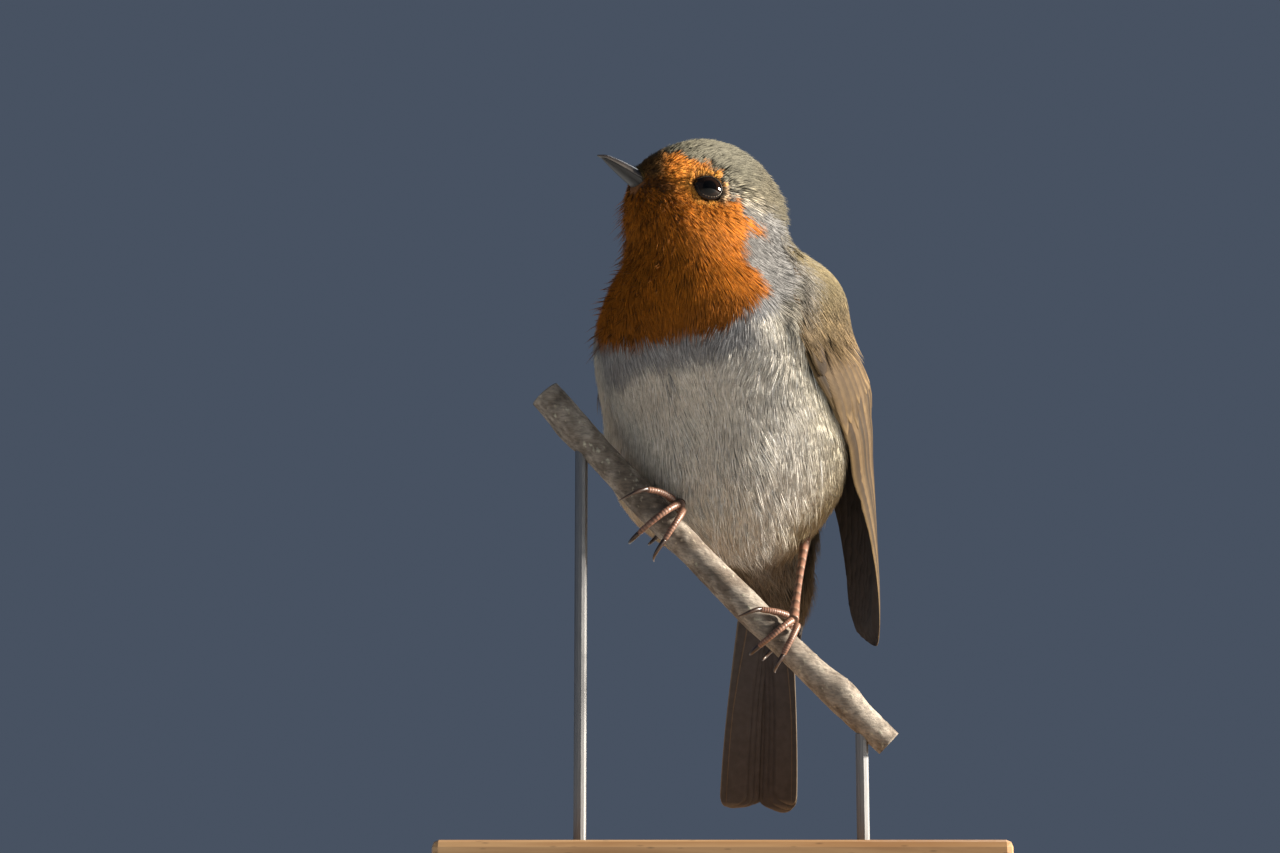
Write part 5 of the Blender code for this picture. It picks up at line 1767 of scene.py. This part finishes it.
def make_perch():
    """Cut branch: the radius over x and turn with ridged bark, and a flat sawn face at each end."""
    x = np.linspace(*PERCH_X, 300)[:, None]
    turn = np.linspace(0.0, 360.0, 96, endpoint=False)[None, :]
    a = np.radians(turn)
    _, over, level = perch_frame(x[:, 0])
    spread = np.cos(a)[..., None] * over[:, None] + np.sin(a)[..., None] * level[:, None]
    base = perch_point(x[:, 0])[:, None]
    radius = perch_radius(x, turn)
    rough = base + radius[..., None] * MM * spread
    stretched = rough * np.array([0.45, 1.0, 0.45])
    crack = noise(stretched, 0.55 * MM, 11)
    bark = 0.05 * noise(rough, 1.6 * MM, 12) + 0.05 * crack
    crust = ramp(noise(rough, 1.1 * MM, 13) + 0.35 * noise(rough, 0.4 * MM, 14), 0.74, 0.12)
    crust = crust * ramp(np.cos(a - 0.6), -0.35, 0.5)
    pore = ramp(noise(stretched * np.array([2.2, 1.0, 2.2]), 0.5 * MM, 15), 0.72, 0.08)
    radius = radius + bark + 0.07 * crust + 0.05 * pore
    rings = base + radius[..., None] * MM * spread
    tone = smoothstep(0.5 + 0.6 * noise(rough, 3.5 * MM, 16) + 0.35 * crack)
    colour = mix(BARK_BROWN, BARK_PALE, 0.55 * tone)
    colour = mix(colour, LICHEN, 0.75 * crust)
    colour = mix(colour, LENTICEL, 0.8 * pore)
    ends = []
    for index in (0, -1):
        share = np.linspace(1.0, 0.06, 16)[1:, None, None]
        face = base[index] + share * (rings[index] - base[index])
        growth = 0.5 + 0.5 * np.sin(share * 42.0) + 0.0 * face[..., :1]
        wood = mix(np.broadcast_to(CUT_WOOD, face.shape), CUT_RING, growth[..., 0] ** 3 * 0.7)
        ends.append((face, wood))
    rings = np.concatenate([ends[0][0][::-1], rings, ends[1][0]])
    colour = np.concatenate([ends[0][1][::-1], colour, ends[1][1]])
    shell = ring_shell(rings, colour, (base[0, 0], base[-1, 0]))
    piece = build("branch", shell, YOUNG_BARK)
    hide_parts("perch")


# ---------------------------------------------------------------- legs and feet, as in the CAD

TARSUS_RADIUS = (1.25, 0.85, 0.80, 1.10)
ANKLE = {1.0: (17.0, 3.0, 68.0), -1.0: (-5.0, -6.0, 75.0)}
FOOT_X = {1.0: 10.6, -1.0: -10.6}
TOE_LOOSE = {1.0: 0.0, -1.0: 1.6}
FOOT_RISE = 1.5
TOE_RADIUS = 0.72
TOE_AWAY = PERCH_RADIUS + 0.9 + TOE_RADIUS
CLAW_START = 6.0
CLAW_TURN = 40.0
TOES = (
    ("inner", 28.0, 78.0, -1.3, -5.6, 2),
    ("middle", 30.0, 150.0, 0.0, -1.0, 3),
    ("outer", 28.0, 118.0, 1.3, 3.4, 3),
    ("hind", -30.0, -112.0, 0.0, 0.8, 1),
)
RUN_SHARE = 0.7

LEG_PINK = linear("86604f")
LEG_BROWN = linear("5e4436")
LEG_EDGE = linear("977a66")
CLAW_DARK = linear("33241d")
CLAW_TIP = linear("5f4a3c")


def foot_point(x):
    """The middle of a foot, just over the bark."""
    _, over, _ = perch_frame(x)
    return perch_point(x) + (PERCH_RADIUS + FOOT_RISE) * MM * over


def wrap(x, start_turn, end_turn, start_run, end_run, start_radius, end_radius, count):
    """Path round the perch and the way off it: turn, run and distance from its centre change evenly."""
    s = np.linspace(0.0, 1.0, count)
    here = x + start_run + (end_run - start_run) * s
    _, over, level = perch_frame(here)
    turn = np.radians(start_turn + (end_turn - start_turn) * s)[:, None]
    away = (start_radius + (end_radius - start_radius) * s)[:, None]
    off = np.cos(turn) * over + np.sin(turn) * level
    return perch_point(here) + away * off, off


def framed_rings(path, tops, radius, turn):
    """Rings round a path whose first point lies on the given top side; radius is (rings, around)."""
    along = unit(np.gradient(path, axis=0))
    tops = unit(tops - np.sum(tops * along, axis=-1, keepdims=True) * along)
    side = np.cross(along, tops)
    spread = np.cos(turn)[..., None] * tops[:, None] + np.sin(turn)[..., None] * side[:, None]
    return path[:, None] + radius[..., None] * spread


def scutes(s, turn, count, cover):
    """Overlapping plates along a leg or toe: each rises from 0 at its upper edge to 1 at its lower.

    Below the given share of the top side they fade into small round scales.
    """
    plate = (s * count) % 1.0
    top = smoothstep((np.cos(turn) - cover) / 0.5)
    small = 0.5 + 0.5 * np.sin(s * count * 2.0 * np.pi * 1.7) * np.sin(turn * 9.0)
    return top * plate ** 1.5 + (1.0 - top) * 0.45 * small, top


def leg_colour(plate, top):
    """Pinkish brown, darker between the plates and pale along their lower edges."""
    colour = mix(LEG_BROWN, LEG_PINK, smoothstep(plate / 0.5))
    return mix(colour, LEG_EDGE, 0.6 * top * ramp(plate, 0.7, 0.25))


def limb(name, path, tops, radius, turn, colour, finish):
    """A leg, toe or claw: rings round a path, closed at both ends."""
    return build(name, ring_shell(framed_rings(path, tops, radius * MM, turn), colour), finish)


def make_tarsus(word, side):
    """Shank from the ankle in the belly's feathers down to the foot, plated in front."""
    top, bottom = np.array(ANKLE[side]) * MM, foot_point(FOOT_X[side])
    s = np.linspace(0.0, 1.0, 110)[:, None]
    turn = full_turn(20)[None, :]
    path = top + s * (bottom - top)
    plate, cover = scutes(s + 0.0 * turn, turn, 11.0, -0.15)
    radius = curve(s, (0.0, 0.3, 0.8, 1.0), TARSUS_RADIUS) * (0.95 + 0.08 * plate)
    front = np.broadcast_to(np.array([-0.25, -1.0, 0.1]), path.shape)
    piece = limb("shank_" + word, path, front, radius, turn, leg_colour(plate, cover), LEG_SCALES)
    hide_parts("tarsus_" + word)


def make_foot(word, side):
    """Four toes round the perch, plated on top and padded under each joint, and their claws."""
    away, x = TOE_AWAY * MM, FOOT_X[side]
    turn = full_turn(16)[None, :]
    for toe, start, end, run_start, run_end, joints in TOES:
        way = 1.0 if end > start else -1.0
        loose = away + (TOE_LOOSE[side] * MM if end > start else 0.0)
        low, high = run_start * RUN_SHARE, run_end * RUN_SHARE
        path, off = wrap(x, start, end, low, high, away, loose, 72)
        s = np.linspace(0.0, 1.0, 72)[:, None]
        plate, cover = scutes(s + 0.0 * turn, turn, 5.0 + 4.0 * joints, -0.2)
        pad = 0.16 * np.abs(np.sin(np.pi * (s * (joints + 1)))) * smoothstep(-np.cos(turn))
        close = np.sqrt(np.clip(1.0 - np.clip((s - 0.93) / 0.07, 0.0, 1.0) ** 2, 0.09, 1.0))
        radius = TOE_RADIUS * (1.0 - 0.25 * s) * (0.92 + 0.12 * plate + pad) * close
        piece = limb("digit_%s_%s" % (word, toe), path, off, radius, turn, leg_colour(plate, cover),
                     LEG_SCALES)
        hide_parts("toe_%s_%s" % (word, toe))

        path, off = wrap(x, end - way, end + way * (CLAW_START + CLAW_TURN), high, run_end * 0.95,
                         loose, loose + 0.9 * MM, 40)
        s = np.linspace(0.0, 1.0, 40)[:, None]
        bend = 0.9 * MM * np.sin(np.pi * s) * off
        radius = 0.58 * (1.0 - s ** 1.4 * 0.9) * (1.0 - 0.18 * np.abs(np.sin(turn)))
        colour = mix(CLAW_DARK, CLAW_TIP, s ** 2 + 0.0 * turn)
        piece = limb("talon_%s_%s" % (word, toe), path + bend, off, radius, turn, colour, CLAW_HORN)
        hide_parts("claw_%s_%s" % (word, toe))


# ---------------------------------------------------------------- stand, floor, light and camera

def finish_stand():
    """The CAD's base and rods keep their shapes and take beech and drawn steel."""
    for name, finish in (("stand_base", OILED_BEECH), ("stand_rod_high", DRAWN_STEEL),
                         ("stand_rod_low", DRAWN_STEEL)):
        for holder in NODES[name].material_slots:
            holder.material = finish


FLOOR_HALF = 3.0
FLOOR_DROP = 0.0002


def make_floor():
    """A plain pale sheet of matt paper under the stand."""
    made, _ = blank("matt_paper")
    settle(made, {"Base Color": rgba("bfc2c4"), "Roughness": 0.9})
    mesh = bpy.data.meshes.new("floor")
    corners = [(-FLOOR_HALF, -FLOOR_HALF), (FLOOR_HALF, -FLOOR_HALF), (FLOOR_HALF, FLOOR_HALF),
               (-FLOOR_HALF, FLOOR_HALF)]
    mesh.from_pydata([(x, y, -FLOOR_DROP) for x, y in corners], [], [(0, 1, 2, 3)])
    mesh.materials.append(made)
    floor = bpy.data.objects.new("floor", mesh)
    bpy.context.scene.collection.objects.link(floor)


AIM = np.array([0.0, 0.0, 0.085])


def softbox(name, heading, rise, distance, size, power, colour):
    """A square area light that faces the bird: heading in degrees from the front towards +X, and rise."""
    h, r = np.radians([heading, rise])
    way = np.array([np.sin(h) * np.cos(r), -np.cos(h) * np.cos(r), np.sin(r)])
    light = bpy.data.lights.new(name, "AREA")
    light.shape = "SQUARE"
    light.size = size
    light.energy = power
    light.color = tuple(linear(colour))
    holder = bpy.data.objects.new(name, light)
    holder.location = AIM + distance * way
    holder.rotation_euler = Vector(way).to_track_quat("Z", "Y").to_euler()
    bpy.context.scene.collection.objects.link(holder)


CAMERA_PLACE = (0.0, -0.450, 0.006)
CAMERA_RISE = 10.3
CAMERA_AIM_X = -0.0154
FOCAL = 65.8


# softboxes: heading, rise, distance in metres, size in metres, power in watts, colour
LIGHTS = {
    "key": (85.0, 15.0, 1.4, 0.20, 82.0, "fff4e4"),
    "fill": (-50.0, 20.0, 1.2, 1.0, 0.3, "e6edff"),
    "rim": (150.0, 40.0, 1.0, 0.5, 1.6, "ffffff"),
}
ROOM_COLOUR, ROOM_STRENGTH = "aac0e2", 0.16


def make_light_and_camera():
    """A small warm key low on the right, weak fill, rim from behind, a blue room, and a low camera."""
    for name, values in LIGHTS.items():
        softbox(name, *values)
    world = bpy.data.worlds.new("room")
    world.use_nodes = True
    sky = world.node_tree.nodes["Background"]
    plug(world.node_tree, sky, {"Color": rgba(ROOM_COLOUR), "Strength": ROOM_STRENGTH})
    bpy.context.scene.world = world
    bpy.context.scene.view_settings.view_transform = "Standard"
    camera = bpy.data.cameras.new("camera")
    camera.lens = FOCAL
    camera.sensor_width = 36.0
    camera.clip_start = 0.01
    holder = bpy.data.objects.new("camera", camera)
    holder.location = CAMERA_PLACE
    turn = np.arctan2(-CAMERA_AIM_X, -CAMERA_PLACE[1])
    holder.rotation_euler = (np.radians(90.0 + CAMERA_RISE), 0.0, turn)
    bpy.context.scene.collection.objects.link(holder)
    bpy.context.scene.camera = holder


make_skin()
make_coat()
for word, side in SIDES.items():
    make_wing(word, side)
    make_eyeball(word)
    make_lid(word)
    make_tarsus(word, side)
    make_foot(word, side)
make_tail()
make_bill()
nostril_feathers()
make_wisps()
make_perch()
finish_stand()
make_floor()
make_light_and_camera()
